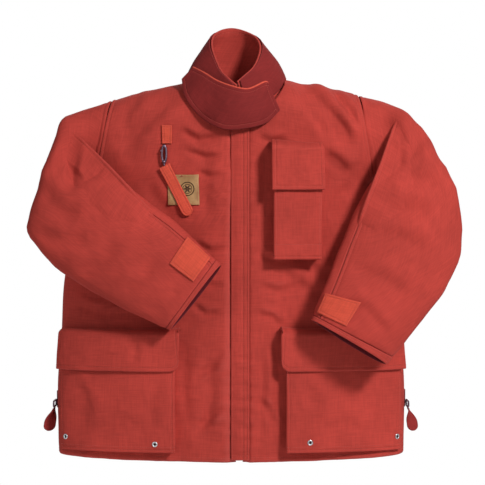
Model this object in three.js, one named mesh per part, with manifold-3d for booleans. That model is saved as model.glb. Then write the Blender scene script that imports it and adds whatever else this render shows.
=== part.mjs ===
// Turnout coat, standing as worn: +Z runs from the hem to the collar, the front faces -Y and the
// wearer's left is +X. Lengths are in millimetres. The drawing frame has z = 0 at the hem; every
// solid is then moved so that the hanging point of the loop in the back neck is the origin.
import * as THREE from 'three';
import Module from 'manifold-3d';

const wasm = await Module();
wasm.setup();

// ---- driving dimensions ----
const SHELL = 4; // outer cloth, batting included
const LINER = 3; // quilted lining
const LINER_GAP = 6; // between the shell and the lining
const SEAM_GAP = 0.9; // clear space left at a sewn edge
const NECK_HALF = 100; // half the width of the neck opening
const NECK_FRONT_DROP = 78; // front neck below the shoulder line
const NECK_BACK_DROP = 14;
const SHOULDER_Z = 768; // shoulder line at the neck
const SHOULDER_ROUND = 70;
const PIT_Z = 556; // lowest point of the armhole
const ARMHOLE_TOP_X = 251; // from the centre line of the shoulders
const ARMHOLE_PIT_X = 284;
const SECTION_POWER = 3; // squareness of the body's cross-section
const FLY_HINGE_X = -20;
const FLY_EDGE_X = 17;
const FLY_TOP_Z = 652;
const ZIP_X = -3;
const LOWER_POCKET = { top: 247, bottom: 24, depth: 24, outerDepth: 9 };
const LOWER_FLAP = { top: 268, bottom: 184 };
const RADIO_POCKET = { left: 64, right: 156, top: 614, bottom: 404, depth: 33 };
const RADIO_FLAP_BOTTOM = 540;
const EYELET = { outer: 5.5, inner: 2.6, height: 1.6 };
const LOOP = { x: -14, y: 42, z: 742, width: 62, gap: 12, band: 8, thick: 2.4 };
const STRAP = { width: 23, thick: 3 };
const TAKE_UP = { width: 38, thick: 3, z: 112, tail: 48 };

// half-width, half-depth and centre of the body at each height
const HALF_WIDTH = [[0, 350], [150, 352], [262, 345], [390, 340], [480, 318], [PIT_Z, 286],
  [604, 320], [650, 335], [790, 335]];
const HALF_DEPTH = [[0, 95], [790, 87]];
const CENTRE_X = [[0, -20], [262, -20], [560, -14], [790, -11]];

const SHELL_RED = { color: 0xb4412f, roughness: 0.9, metalness: 0 };
const LINER_CLOTH = { color: 0x7a1420, roughness: 0.95, metalness: 0 };
const TRIM_RED = { color: 0x8e2730, roughness: 0.85, metalness: 0 };
const LEATHER = { color: 0xa5784a, roughness: 0.6, metalness: 0 };
const METAL = { color: 0xc8c8cc, roughness: 0.35, metalness: 1 };
const DARK_METAL = { color: 0x4a3440, roughness: 0.4, metalness: 0.8 };
const KNIT = { color: 0x6a1a20, roughness: 1, metalness: 0 };
const WEBBING = { color: 0x7d2230, roughness: 0.9, metalness: 0 };

// ---- small tools ----
const mix = (a, b, t) => a + (b - a) * t;
const clamp = (v, a, b) => Math.min(b, Math.max(a, v));
const smooth = (t) => t * t * (3 - 2 * t);

// smooth curve through knots [position, value...]
function through(knots, at, column = 1) {
  const last = knots.length - 1;
  const p = clamp(at, knots[0][0], knots[last][0]);
  let i = 0;
  while (i < last - 1 && p > knots[i + 1][0]) i += 1;
  const slope = (k) => {
    const a = knots[Math.max(0, k - 1)];
    const b = knots[Math.min(last, k + 1)];
    return (b[column] - a[column]) / (b[0] - a[0]);
  };
  const span = knots[i + 1][0] - knots[i][0];
  const t = (p - knots[i][0]) / span;
  const t2 = t * t;
  const t3 = t2 * t;
  return (2 * t3 - 3 * t2 + 1) * knots[i][column] + (t3 - 2 * t2 + t) * span * slope(i)
    + (3 * t2 - 2 * t3) * knots[i + 1][column] + (t3 - t2) * span * slope(i + 1);
}

// unit normal of the surface point(u, v): along d/du x d/dv
function normalOf(point, u, v) {
  const h = 1e-3;
  const du = point(Math.min(1, u + h), v).sub(point(Math.max(0, u - h), v));
  const dv = point(u, Math.min(1, v + h)).sub(point(u, Math.max(0, v - h)));
  return du.cross(dv).normalize();
}

// closed sheet between `low` and `high` along the surface's normal
function sheet(point, nu, nv, low, high) {
  const positions = [];
  const index = [];
  for (const side of [high, low]) {
    for (let j = 0; j <= nv; j += 1) {
      for (let i = 0; i <= nu; i += 1) {
        const p = point(i / nu, j / nv);
        p.addScaledVector(normalOf(point, i / nu, j / nv), side);
        positions.push(p.x, p.y, p.z);
      }
    }
  }
  const count = (nu + 1) * (nv + 1);
  const id = (i, j, s) => s * count + j * (nu + 1) + i;
  const quad = (a, b, c, d) => index.push(a, b, c, a, c, d);
  for (let j = 0; j < nv; j += 1) {
    for (let i = 0; i < nu; i += 1) {
      quad(id(i, j, 0), id(i + 1, j, 0), id(i + 1, j + 1, 0), id(i, j + 1, 0));
      quad(id(i, j, 1), id(i, j + 1, 1), id(i + 1, j + 1, 1), id(i + 1, j, 1));
    }
  }
  for (let i = 0; i < nu; i += 1) {
    quad(id(i, 0, 1), id(i + 1, 0, 1), id(i + 1, 0, 0), id(i, 0, 0));
    quad(id(i, nv, 0), id(i + 1, nv, 0), id(i + 1, nv, 1), id(i, nv, 1));
  }
  for (let j = 0; j < nv; j += 1) {
    quad(id(0, j, 0), id(0, j + 1, 0), id(0, j + 1, 1), id(0, j, 1));
    quad(id(nu, j, 1), id(nu, j + 1, 1), id(nu, j + 1, 0), id(nu, j, 0));
  }
  const geometry = new THREE.BufferGeometry();
  geometry.setAttribute('position', new THREE.Float32BufferAttribute(positions, 3));
  geometry.setIndex(index);
  return geometry;
}

// closed ring: as sheet, but u = 1 meets u = 0
function ring(point, nu, nv, low, high) {
  const positions = [];
  const index = [];
  for (const side of [high, low]) {
    for (let j = 0; j <= nv; j += 1) {
      for (let i = 0; i < nu; i += 1) {
        const u = Math.max(1e-3, i / nu);
        const p = point(u, j / nv);
        p.addScaledVector(normalOf(point, u, j / nv), side);
        positions.push(p.x, p.y, p.z);
      }
    }
  }
  const count = nu * (nv + 1);
  const id = (i, j, s) => s * count + j * nu + (i % nu);
  const quad = (a, b, c, d) => index.push(a, b, c, a, c, d);
  for (let i = 0; i < nu; i += 1) {
    for (let j = 0; j < nv; j += 1) {
      quad(id(i, j, 0), id(i + 1, j, 0), id(i + 1, j + 1, 0), id(i, j + 1, 0));
      quad(id(i, j, 1), id(i, j + 1, 1), id(i + 1, j + 1, 1), id(i + 1, j, 1));
    }
    quad(id(i, 0, 1), id(i + 1, 0, 1), id(i + 1, 0, 0), id(i, 0, 0));
    quad(id(i, nv, 0), id(i + 1, nv, 0), id(i + 1, nv, 1), id(i, nv, 1));
  }
  const geometry = new THREE.BufferGeometry();
  geometry.setAttribute('position', new THREE.Float32BufferAttribute(positions, 3));
  geometry.setIndex(index);
  return geometry;
}

// stands a flat shape drawn in XY upright against the front, clear of it by `off`
function standing(geometry, at, off) {
  geometry.rotateX(Math.PI / 2);
  geometry.translate(at.x, at.y - off, at.z);
  return geometry;
}

const coat = new THREE.Group();
coat.name = 'turnout_coat';

function add(name, geometry, look) {
  geometry.translate(-LOOP.x, -LOOP.y, -LOOP.z);
  geometry.computeVertexNormals();
  const mesh = new THREE.Mesh(geometry, new THREE.MeshStandardMaterial(look));
  mesh.name = name;
  coat.add(mesh);
  return mesh;
}

// ---- body ----
const shoulderZ = (x) => SHOULDER_Z + 0.02 * x - 36 * (x / 250) ** 2;
const hemZ = (x) => 4 + 8 * (x / 340) ** 2;
const armholeX = (z) => mix(ARMHOLE_TOP_X, ARMHOLE_PIT_X, clamp((737 - z) / (737 - PIT_Z), 0, 1));

// top edge of a panel: the neck curve inside the neck, else the shoulder line
function topZ(x, drop) {
  const t = Math.min(1, Math.abs(x) / NECK_HALF);
  return shoulderZ(x) - drop * Math.sqrt(Math.max(0, 1 - t * t)) ** 1.4;
}

// body surface: face -1 front, +1 back; x is from the centre line
function bodyPoint(face, angle, rise, drop) {
  const level = rise * 740;
  const c = Math.sign(Math.cos(angle)) * Math.abs(Math.cos(angle)) ** (2 / SECTION_POWER);
  const s = Math.abs(Math.sin(angle)) ** (2 / SECTION_POWER);
  const x = c * through(HALF_WIDTH, level);
  const z = mix(hemZ(x), topZ(x, drop), rise);
  const below = clamp((shoulderZ(x) - z) / SHOULDER_ROUND, 0, 1);
  const round = Math.sqrt(Math.max(0, 1 - (1 - below) ** 2));
  const y = face * (SEAM_GAP / 2 + through(HALF_DEPTH, level) * s * round);
  return new THREE.Vector3(x + through(CENTRE_X, level), y, z);
}

// angle at which the section reaches x (from the centre line) at a level
function angleAt(x, level) {
  const c = clamp(Math.abs(x) / through(HALF_WIDTH, level), 0, 1) ** (SECTION_POWER / 2);
  const a = Math.acos(clamp(c, 0, 1));
  return x >= 0 ? a : Math.PI - a;
}

// angle of a panel's side edge: the side seam, then the armhole
function sideAngle(level, trim) {
  if (level <= PIT_Z) return 0;
  return Math.max(0, angleAt(armholeX(level) - trim, level));
}

const rows = (v) => 1 - (1 - v) ** 1.35;

// one panel of the body between a centre edge (x in the coat) and the side, wearer's side +-1
function panelPoint(face, side, centreX, trim, low, high, drop) {
  return (u, v) => {
    const rise = mix(low, high, rows(v));
    const level = rise * 740;
    const inner = angleAt(side * (centreX - through(CENTRE_X, level)), level);
    const outer = sideAngle(level, trim);
    const around = side > 0 ? mix(outer, inner, u) : Math.PI - mix(inner, outer, u);
    return bodyPoint(face, around, rise, drop);
  };
}

// the back panel spans both sides
function backPoint(trim, low, high) {
  return (u, v) => {
    const rise = mix(low, high, v);
    const outer = sideAngle(rise * 740, trim);
    return bodyPoint(1, mix(outer, Math.PI - outer, u), rise, NECK_BACK_DROP);
  };
}

// swaps the direction of u so that the normal faces out
const flipU = (point) => (u, v) => point(1 - u, v);

// the part of a surface between u0 and u1, v0 and v1
const part = (point, u0, u1, v0, v1) => (u, v) => point(mix(u0, u1, u), mix(v0, v1, v));

const FRONT_TOP = 1;
for (const [name, side, edge] of [['front_right', -1, ZIP_X - 6], ['front_left', 1, ZIP_X + 6]]) {
  const shell = panelPoint(-1, side, edge, 3, 0, FRONT_TOP, NECK_FRONT_DROP);
  add(name, sheet(flipU(shell), 10, 12, -SHELL, 0), SHELL_RED);
  const lining = part(flipU(shell), side > 0 ? 0.06 : 0.2, side > 0 ? 0.8 : 0.94, 0.03, 0.86);
  add(`liner_${name}`, sheet(lining, 7, 9, -SHELL - LINER - LINER_GAP, -SHELL - LINER_GAP), LINER_CLOTH);
}
const YOKE_RISE = 0.8;
add('back_panel', sheet(backPoint(3, 0, YOKE_RISE - 0.001), 18, 9, -SHELL, 0), SHELL_RED);
add('back_yoke', sheet(backPoint(3, YOKE_RISE + 0.001, 1), 18, 7, -SHELL, 0), SHELL_RED);
const backLining = part(backPoint(3, 0, 1), 0.14, 0.86, 0.03, 0.95);
add('liner_back', sheet(backLining, 12, 10, -SHELL - LINER - LINER_GAP, -SHELL - LINER_GAP), LINER_CLOTH);


// ---- a patch that lies on the body's surface ----
// x and z are in the coat; off(u, v) is the clear height above the cloth
function frontXZ(x, z) {
  const level = clamp(z, 0, 739);
  const cx = x - through(CENTRE_X, level);
  const around = angleAt(cx, level);
  const rise = clamp((z - hemZ(cx)) / (topZ(cx, NECK_FRONT_DROP) - hemZ(cx)), 0, 1);
  return bodyPoint(-1, around, rise, NECK_FRONT_DROP);
}

function raise(point, off) {
  return (u, v) => point(u, v).addScaledVector(normalOf(point, u, v), off(u, v));
}

// the same by the share c of the half-width, so that a side edge follows the side of the coat
function frontShare(c, z) {
  return frontXZ(c * through(HALF_WIDTH, z) + through(CENTRE_X, z), z);
}

// rectangle on the front between x0 and x1, z0 and z1, each mix taken along the cloth
function frontPatch(x0, x1, z0, z1, tilt = 0) {
  return (u, v) => {
    const x = mix(x0, x1, u) + tilt * (1 - v);
    return frontXZ(x, mix(z0, z1, v));
  };
}

// ---- sleeves ----
// each row: outer x, outer z, inner x, inner z, y of the middle, half-depth, in the coat
const RIGHT_SLEEVE = [
  [-262, 727, -300, 564, 0, 62], [-310, 709, -310, 564, -6, 61], [-358, 686, -316, 566, -24, 57],
  [-396, 610, -318, 566, -54, 50], [-418, 526, -300, 562, -80, 44], [-422, 456, -262, 574, -102, 41],
  [-362, 392, -222, 546, -118, 40], [-300, 350, -180, 516, -128, 38], [-236, 315, -130, 479, -139, 36],
  [-180, 287, -82, 436, -147, 34], [-132, 266, -35, 392, -153, 32],
];
const LEFT_SLEEVE = [
  [240, 737, 272, 564, 0, 62], [290, 722, 284, 564, -7, 61], [330, 702, 292, 566, -24, 58],
  [364, 662, 292, 570, -47, 54], [394, 604, 276, 566, -72, 50], [424, 548, 252, 548, -92, 46],
  [434, 486, 226, 500, -108, 43], [426, 410, 196, 434, -126, 40], [392, 340, 172, 372, -141, 38],
  [338, 270, 154, 328, -152, 36], [276, 196, 135, 286, -158, 33],
];
const SLEEVE_POWER = 2.7;

// ring left open by the body's two armhole edges, 0 at the shoulder, front side first
function armholeRing(side, phi) {
  const rise = mix((PIT_Z + 12) / 740, 0.99, (1 + Math.cos(phi)) / 2);
  const face = Math.sin(phi) >= 0 ? -1 : 1;
  const outer = sideAngle(rise * 740, -3);
  const p = bodyPoint(face, side > 0 ? outer : Math.PI - outer, rise, NECK_FRONT_DROP);
  p.y *= smooth(Math.min(1, Math.abs(Math.sin(phi)) * 2.2));
  return p;
}

// sleeve surface: s 0 at the armhole, 1 at the cuff; phi 0 on the outer edge, then the front
function sleevePoint(side, s, phi) {
  const table = side > 0 ? LEFT_SLEEVE : RIGHT_SLEEVE;
  const knots = table.map((row, i) => [i / (table.length - 1), ...row]);
  const at = (column) => through(knots, s, column);
  const c = Math.sign(Math.cos(phi)) * Math.abs(Math.cos(phi)) ** (2 / SLEEVE_POWER);
  const d = Math.sign(Math.sin(phi)) * Math.abs(Math.sin(phi)) ** (2 / SLEEVE_POWER);
  const k = (1 + c) / 2;
  const p = new THREE.Vector3(mix(at(3), at(1), k), at(5) - d * at(6), mix(at(4), at(2), k));
  const blend = smooth(clamp(1 - s / 0.1, 0, 1));
  return blend > 0 ? p.lerp(armholeRing(side, phi), blend) : p;
}

// stretch of a sleeve between two angles; u runs so that the normal faces out
function sleevePatch(side, s0, s1, phi0, phi1) {
  return (u, v) => sleevePoint(side, mix(s0, s1, v), mix(phi0, phi1, side > 0 ? u : 1 - u));
}

const SEAM_OUTER = -0.3; // seam under the arm
const SEAM_INNER = Math.PI - 0.6; // topstitched seam along the forearm
const SLEEVE_END = 0.972;
for (const [side, word] of [[-1, 'right'], [1, 'left']]) {
  const top = sleevePatch(side, 0.004, SLEEVE_END, SEAM_OUTER + 0.02, SEAM_INNER - 0.03);
  const under = sleevePatch(side, 0.004, SLEEVE_END, SEAM_INNER + 0.02, 2 * Math.PI + SEAM_OUTER - 0.02);
  add(`sleeve_top_${word}`, sheet(top, 9, 18, -SHELL, 0), SHELL_RED);
  add(`sleeve_under_${word}`, sheet(under, 9, 18, -SHELL, 0), SHELL_RED);
  const band = sleevePatch(side, SLEEVE_END + 0.002, 1, 0, 2 * Math.PI);
  add(`cuff_band_${word}`, ring(band, 18, 1, -SHELL, 0), SHELL_RED);
  const knit = sleevePatch(side, 0.9, 0.985, 0, 2 * Math.PI);
  add(`wristlet_${word}`, ring(knit, 16, 2, -SHELL - 9, -SHELL - 6), KNIT);
}

// ---- collar ----
// rows: rim x, y, z and base x, y, z, from the wearer's right front end round the back
const COLLAR = [
  [-10, -104, 745, -18, -100, 695], [-26, -92, 759, -52, -92, 705], [-42, -72, 776, -82, -70, 722],
  [-54, -48, 802, -102, -40, 748], [-63, -20, 832, -112, -4, 764], [-60, 14, 856, -101, 29, 762],
  [-42, 38, 869, -62, 46, 759], [-17, 47, 873, -14, 51, 758], [10, 38, 867, 36, 46, 760],
  [34, 14, 853, 73, 29, 764], [43, -18, 832, 89, -4, 768], [38, -46, 806, 80, -42, 748],
  [27, -66, 784, 62, -72, 728], [10, -82, 767, 34, -90, 709], [-6, -92, 753, 6, -98, 700],
];

function collarPoint(u, v) {
  const knots = COLLAR.map((row, i) => [i / (COLLAR.length - 1), ...row]);
  const at = (column) => through(knots, u, column);
  const bulge = 9 * Math.sin(Math.PI * v) * Math.sin(Math.PI * u);
  const p = new THREE.Vector3(mix(at(4), at(1), v), mix(at(5), at(2), v), mix(at(6), at(3), v));
  return p.addScaledVector(new THREE.Vector3(p.x + 12, p.y + 10, 0).normalize(), bulge);
}
add('collar_outer', sheet(flipU((u, v) => collarPoint(1 - u, v)), 22, 3, 0, 4), SHELL_RED);
add('collar_inner', sheet(part(collarPoint, 0.015, 0.985, 0.02, 0.97), 22, 3, -4.4, -1.4), LINER_CLOTH);

// ---- throat flap, sewn at the wearer's right side of the collar ----
// rows: top x, y, z and bottom x, y, z
const THROAT = [
  [-94, -56, 788, -118, -58, 764], [-70, -86, 773, -108, -88, 722], [-46, -104, 757, -76, -100, 683],
  [-14, -118, 744, -34, -114, 661], [14, -116, 740, 14, -114, 663], [44, -98, 755, 50, -104, 674],
  [50, -90, 754, 77, -90, 700],
];

function throatPoint(u, v) {
  const knots = THROAT.map((row, i) => [i / (THROAT.length - 1), ...row]);
  const at = (column) => through(knots, u, column);
  const out = -6 * Math.sin(Math.PI * v) * Math.sin(Math.PI * u);
  return new THREE.Vector3(mix(at(4), at(1), v), mix(at(5), at(2), v) + out, mix(at(6), at(3), v));
}
add('throat_flap', sheet(throatPoint, 12, 3, 0, 4), TRIM_RED);

// ---- fly and zip ----
const flyAt = (x0, x1, z0, z1, off) => raise(frontPatch(x0, x1, z0, z1), () => off);
add('storm_fly', sheet(flyAt(FLY_HINGE_X, FLY_EDGE_X, 9, FLY_TOP_Z, 0), 2, 14, 11, 15), SHELL_RED);
const tape = (x0, x1) => sheet(flyAt(x0, x1, 16, 640, 0), 1, 14, 0.6, 1.8);
add('zip_tape_right', tape(ZIP_X - 14, ZIP_X - 0.6), TRIM_RED);
add('zip_tape_left', tape(ZIP_X + 0.6, ZIP_X + 14), TRIM_RED);
const slider = new THREE.BoxGeometry(9, 3.6, 13);
const sliderAt = frontXZ(ZIP_X, 632);
slider.translate(sliderAt.x, sliderAt.y - 5, sliderAt.z);
add('zip_slider', slider, METAL);

// ---- pockets: a front wall, a gusset round three sides and a flap ----
const CORNER = 14;
function pocket(name, base, w, h, offA, offB) {
  const off = (u) => mix(offA, offB, smooth(u));
  const wall = raise(base, (u) => off(u));
  add(`${name}_front`, sheet(wall, 10, 4, -3, 0), SHELL_RED);
  // path round the bottom: down one side, across and up the other
  const inset = 3;
  const track = (t) => {
    const run = t * (2 * h + w);
    if (run < h) return [inset / w, 1 - run / h * (1 - inset / h)];
    if (run < h + w) return [mix(inset, w - inset, (run - h) / w) / w, inset / h];
    return [1 - inset / w, inset / h + (run - h - w) / h * (1 - inset / h)];
  };
  const corner = (t) => {
    const d = CORNER / (2 * h + w);
    const a = track(clamp(t - d, 0, 1));
    const b = track(clamp(t + d, 0, 1));
    const c = track(t);
    return [(a[0] + b[0] + 2 * c[0]) / 4, (a[1] + b[1] + 2 * c[1]) / 4];
  };
  const gusset = (u, v) => {
    const [pu, pv] = corner(v);
    const foot = base(pu, pv);
    return foot.addScaledVector(normalOf(base, pu, pv), mix(1, off(pu) - 4.8, u));
  };
  add(`${name}_gusset`, sheet(flipU(gusset), 1, 22, -1.2, 1.2), SHELL_RED);
}

function flap(name, at, zBottom, zTop, offA, offB, drop, room = 2.4) {
  const off = (u, v) => {
    const out = mix(offA, offB, smooth(u)) + room;
    const t = clamp((1 - v) / 0.17, 0, 1);
    return mix(2, out, Math.sin(t * Math.PI / 2));
  };
  const base = (u, v) => at(u, mix(zBottom + drop(u), zTop, v));
  add(name, sheet(raise(base, off), 12, 7, 0, 4), SHELL_RED);
}

const L = LOWER_POCKET;
const R = RADIO_POCKET;
const share = (c0, c1, z0, z1) => (u, v) => frontShare(mix(c0, c1, u), mix(z0, z1, v));
const lowerSize = [232, L.top - L.bottom];
pocket('pocket_right', share(-0.955, -0.31, L.bottom, L.top), ...lowerSize, L.outerDepth, L.depth);
pocket('pocket_left', share(0.31, 0.955, L.bottom, L.top), ...lowerSize, L.depth, L.outerDepth);
flap('pocket_flap_right', (u, z) => frontShare(mix(-0.968, -0.29, u), z), LOWER_FLAP.bottom,
  LOWER_FLAP.top, L.outerDepth, L.depth, (u) => 14 * smooth(clamp((u - 0.9) / 0.1, 0, 1)));
flap('pocket_flap_left', (u, z) => frontShare(mix(0.285, 0.968, u), z), LOWER_FLAP.bottom,
  LOWER_FLAP.top, L.depth, L.outerDepth, (u) => 14 * smooth(clamp((0.1 - u) / 0.1, 0, 1)));
pocket('radio_pocket', frontPatch(R.left, R.right, R.bottom, R.top), R.right - R.left,
  R.top - R.bottom, R.depth, R.depth);
flap('radio_flap', (u, z) => frontXZ(mix(R.left - 4, R.right + 4, u), z), RADIO_FLAP_BOTTOM,
  R.top + 22, R.depth, R.depth, () => 0, 4);

// ---- drain eyelets ----
function eyelet(name, x, z, off) {
  const profile = [
    new THREE.Vector2(EYELET.inner, 0),
    new THREE.Vector2(EYELET.outer, 0),
    new THREE.Vector2(EYELET.outer - 0.6, EYELET.height),
    new THREE.Vector2(EYELET.inner + 0.5, EYELET.height),
    new THREE.Vector2(EYELET.inner, 0),
  ];
  const geometry = new THREE.LatheGeometry(profile, 16);
  const patch = frontPatch(x - 4, x + 4, z - 4, z + 4);
  const normal = normalOf(patch, 0.5, 0.5);
  const at = patch(0.5, 0.5).addScaledVector(normal, off + 0.5);
  const turn = new THREE.Quaternion().setFromUnitVectors(new THREE.Vector3(0, 1, 0), normal);
  geometry.applyQuaternion(turn);
  geometry.translate(at.x, at.y, at.z);
  geometry.deleteAttribute('uv');
  add(name, geometry, METAL);
}
eyelet('eyelet_right_outer', -350, 51, 10.5);
eyelet('eyelet_right_inner', -169, 42, 23);
eyelet('eyelet_left_inner', 136, 45, 23);
eyelet('eyelet_left_outer', 312, 51, 10.5);

// ---- cuff tabs ----
for (const [side, word, s0, s1, p0, p1] of [[-1, 'right', 0.86, 0.955, 1.75, 2.7],
  [1, 'left', 0.87, 0.955, 1.75, 2.75]]) {
  const tab = sleevePatch(side, s0, s1, p0, p1);
  add(`cuff_tab_${word}`, sheet(tab, 8, 4, 1.2, 4.2), SHELL_RED);
}

// ---- light strap, its hook and the leather badge on the wearer's right chest ----
add('badge', sheet(frontPatch(-146, -84, 512, 572, 2), 6, 6, 0.8, 3.2), LEATHER);
add('anchor_tab', sheet(frontPatch(-157, -137, 634, 670), 3, 4, 0.8, 3.8), SHELL_RED);
const hookShape = new THREE.Shape();
hookShape.absellipse(0, 0, 6, 19, 0, Math.PI * 2, false, 0);
const hookHole = new THREE.Path();
hookHole.absellipse(0, 0, 3, 15.5, 0, Math.PI * 2, true, 0);
hookShape.holes.push(hookHole);
const hook = new THREE.ExtrudeGeometry(hookShape, { depth: 3, bevelEnabled: false, curveSegments: 10 });
hook.deleteAttribute('uv');
const hookAt = frontXZ(-152, 613);
add('snap_hook', standing(hook, hookAt, 4.6), DARK_METAL);
const strapPath = (u, v) => {
  const along = mix(0, 1, v);
  const x = mix(-152, -101, 1 - along);
  const z = mix(590, 492, 1 - along);
  const half = STRAP.width / 2 * Math.min(1, Math.sqrt(1 - clamp((0.1 - along) / 0.1, 0, 0.97) ** 2));
  return frontXZ(x + (u - 0.5) * 2 * half * 0.87, z + (u - 0.5) * 2 * half * 0.48);
};
add('light_strap', sheet(strapPath, 4, 14, 4.6, 4.6 + STRAP.thick), SHELL_RED);

// ---- side take-up straps ----
for (const [side, word] of [[-1, 'right'], [1, 'left']]) {
  const x = side * 351 + CENTRE_X[0][1];
  const base = (u, v) => {
    const turn = mix(0.5, 0.06, side > 0 ? u : 1 - u);
    const level = TAKE_UP.z + 4 + (v - 0.5) * TAKE_UP.width;
    return bodyPoint(1, side > 0 ? turn : Math.PI - turn, level / 740, NECK_BACK_DROP);
  };
  add(`takeup_base_${word}`, sheet(flipU(base), 6, 3, 0.8, 0.8 + TAKE_UP.thick), WEBBING);
  const buckle = new THREE.BoxGeometry(4, TAKE_UP.width + 8, 16);
  buckle.translate(x + side * 6.6, -16, TAKE_UP.z);
  add(`takeup_buckle_${word}`, buckle, DARK_METAL);
  const tail = new THREE.BoxGeometry(TAKE_UP.thick, TAKE_UP.width * 0.66, TAKE_UP.tail);
  tail.translate(0, 0, -TAKE_UP.tail / 2);
  tail.rotateY(-side * 0.2);
  tail.translate(x + side * 8, -16, TAKE_UP.z - 9);
  add(`takeup_tail_${word}`, tail, WEBBING);
}

// ---- hanging loop inside the back neck ----
const loopHalf = LOOP.width / 2;
const loopShape = new THREE.Shape();
loopShape.moveTo(-loopHalf, -LOOP.gap - LOOP.band);
loopShape.lineTo(loopHalf, -LOOP.gap - LOOP.band);
loopShape.lineTo(loopHalf, LOOP.band);
loopShape.lineTo(-loopHalf, LOOP.band);
loopShape.closePath();
const loopGap = new THREE.Path();
loopGap.moveTo(-loopHalf + LOOP.band, -LOOP.gap);
loopGap.lineTo(-loopHalf + LOOP.band, 0);
loopGap.lineTo(loopHalf - LOOP.band, 0);
loopGap.lineTo(loopHalf - LOOP.band, -LOOP.gap);
loopGap.closePath();
loopShape.holes.push(loopGap);
const loop = new THREE.ExtrudeGeometry(loopShape, { depth: LOOP.thick, bevelEnabled: false });
loop.deleteAttribute('uv');
loop.rotateX(Math.PI / 2);
loop.translate(LOOP.x, LOOP.y + LOOP.thick / 2, LOOP.z);
add('hanger_loop', loop, WEBBING);

export default coat;
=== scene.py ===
"""Looks of the turnout coat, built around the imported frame. Lengths below are millimetres in the
drawing frame of the coat (z = 0 at the hem, x to the wearer's left, the front faces -y); to_row()
turns them into metres in the frame's own axes."""

import math

import bmesh
import bpy
import numpy as np
from mathutils import Matrix, Vector


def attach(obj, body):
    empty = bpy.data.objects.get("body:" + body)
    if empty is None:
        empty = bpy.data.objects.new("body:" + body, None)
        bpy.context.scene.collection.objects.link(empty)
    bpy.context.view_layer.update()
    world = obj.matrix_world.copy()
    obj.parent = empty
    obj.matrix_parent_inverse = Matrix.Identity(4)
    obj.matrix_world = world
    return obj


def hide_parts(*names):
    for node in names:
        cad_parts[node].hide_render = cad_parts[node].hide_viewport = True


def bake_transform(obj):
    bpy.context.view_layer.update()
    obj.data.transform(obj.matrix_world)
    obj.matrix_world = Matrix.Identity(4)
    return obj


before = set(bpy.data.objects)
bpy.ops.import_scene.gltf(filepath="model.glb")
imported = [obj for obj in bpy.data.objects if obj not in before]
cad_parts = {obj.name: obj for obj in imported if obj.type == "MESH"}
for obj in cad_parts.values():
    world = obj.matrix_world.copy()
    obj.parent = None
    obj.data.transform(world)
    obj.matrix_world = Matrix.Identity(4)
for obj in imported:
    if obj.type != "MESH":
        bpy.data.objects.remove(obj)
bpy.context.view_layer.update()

# ---- camera, light and stage ----
LOOP = np.array([-14.0, 42.0, 742.0])  # hanging point of the loop in the back neck


def to_row(points):
    return (np.asarray(points, float) - LOOP) * 0.001


def look_at(obj, target):
    obj.rotation_euler = (Vector(target) - obj.location).to_track_quat("-Z", "Y").to_euler()


def new_object(name, data):
    obj = bpy.data.objects.new(name, data)
    bpy.context.scene.collection.objects.link(obj)
    return obj


camera = new_object("camera", bpy.data.cameras.new("camera"))
camera.data.lens = 110
camera.data.sensor_width = 36
TARGET = to_row([3.0, -60.0, 438.0])
MID_COAT = (0, 0, -0.3)
FRAME_WIDTH_M = 0.97
distance = FRAME_WIDTH_M * camera.data.lens / camera.data.sensor_width
camera.location = Vector(TARGET) + Vector((0, -distance, 0))
look_at(camera, TARGET)
camera.data.clip_end = 50
bpy.context.scene.camera = camera

world = bpy.data.worlds.new("studio")
bpy.context.scene.world = world
world.use_nodes = True
sky = world.node_tree.nodes["Background"]
sky.inputs["Color"].default_value = (1.0, 1.0, 1.0, 1)
ray = world.node_tree.nodes.new("ShaderNodeLightPath")
level = world.node_tree.nodes.new("ShaderNodeMapRange")
level.inputs["To Min"].default_value = 0.235  # as a light
level.inputs["To Max"].default_value = 1.0  # as seen behind the coat
world.node_tree.links.new(ray.outputs["Is Camera Ray"], level.inputs["Value"])
world.node_tree.links.new(level.outputs["Result"], sky.inputs["Strength"])
bpy.context.scene.view_settings.view_transform = "Standard"


def area_light(name, place, size, power):
    light = new_object(name, bpy.data.lights.new(name, "AREA"))
    light.data.size = size
    light.data.energy = power
    light.location = place
    look_at(light, MID_COAT)


area_light("key", (1.75, -2.4, 1.35), 0.55, 102)
area_light("fill", (-1.9, -2.3, 0.4), 2.0, 13)
area_light("back", (0.4, 2.6, 0.9), 2.4, 45)

# ---- the coat's shape, as in the CAD source ----
SECTION_POWER = 3.0
TOP_LEVEL = 740  # levels run from 0 at the hem to this at the shoulder
BODY_CENTRE_X = -14
NECK_HALF, NECK_FRONT_DROP, NECK_BACK_DROP = 100.0, 78.0, 14.0
SHOULDER_Z, SHOULDER_ROUND, PIT_Z = 768.0, 70.0, 556.0
ARMHOLE_TOP_X, ARMHOLE_PIT_X = 251.0, 284.0
SEAM_GAP = -0.6  # the sewn edges lap a little
SEAM_TRIM = 0.7  # half the gap sewn shut at the armholes
HALF_WIDTH = [[0, 350], [150, 352], [262, 345], [390, 340], [480, 318], [PIT_Z, 286], [604, 320],
              [650, 335], [790, 335]]
HALF_DEPTH = [[0, 95], [790, 87]]
CENTRE_X = [[0, -20], [262, -20], [560, -14], [790, -11]]
RIGHT_SLEEVE = [
    [-262, 727, -300, 564, 0, 62], [-310, 709, -310, 564, -6, 61], [-358, 686, -316, 566, -24, 57],
    [-396, 610, -318, 566, -54, 50], [-418, 526, -300, 562, -80, 44], [-422, 456, -262, 574, -102, 41],
    [-362, 392, -222, 546, -118, 40], [-300, 350, -180, 516, -128, 38], [-236, 315, -130, 479, -139, 36],
    [-180, 287, -82, 436, -147, 34], [-132, 266, -35, 392, -153, 32]]
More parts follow.
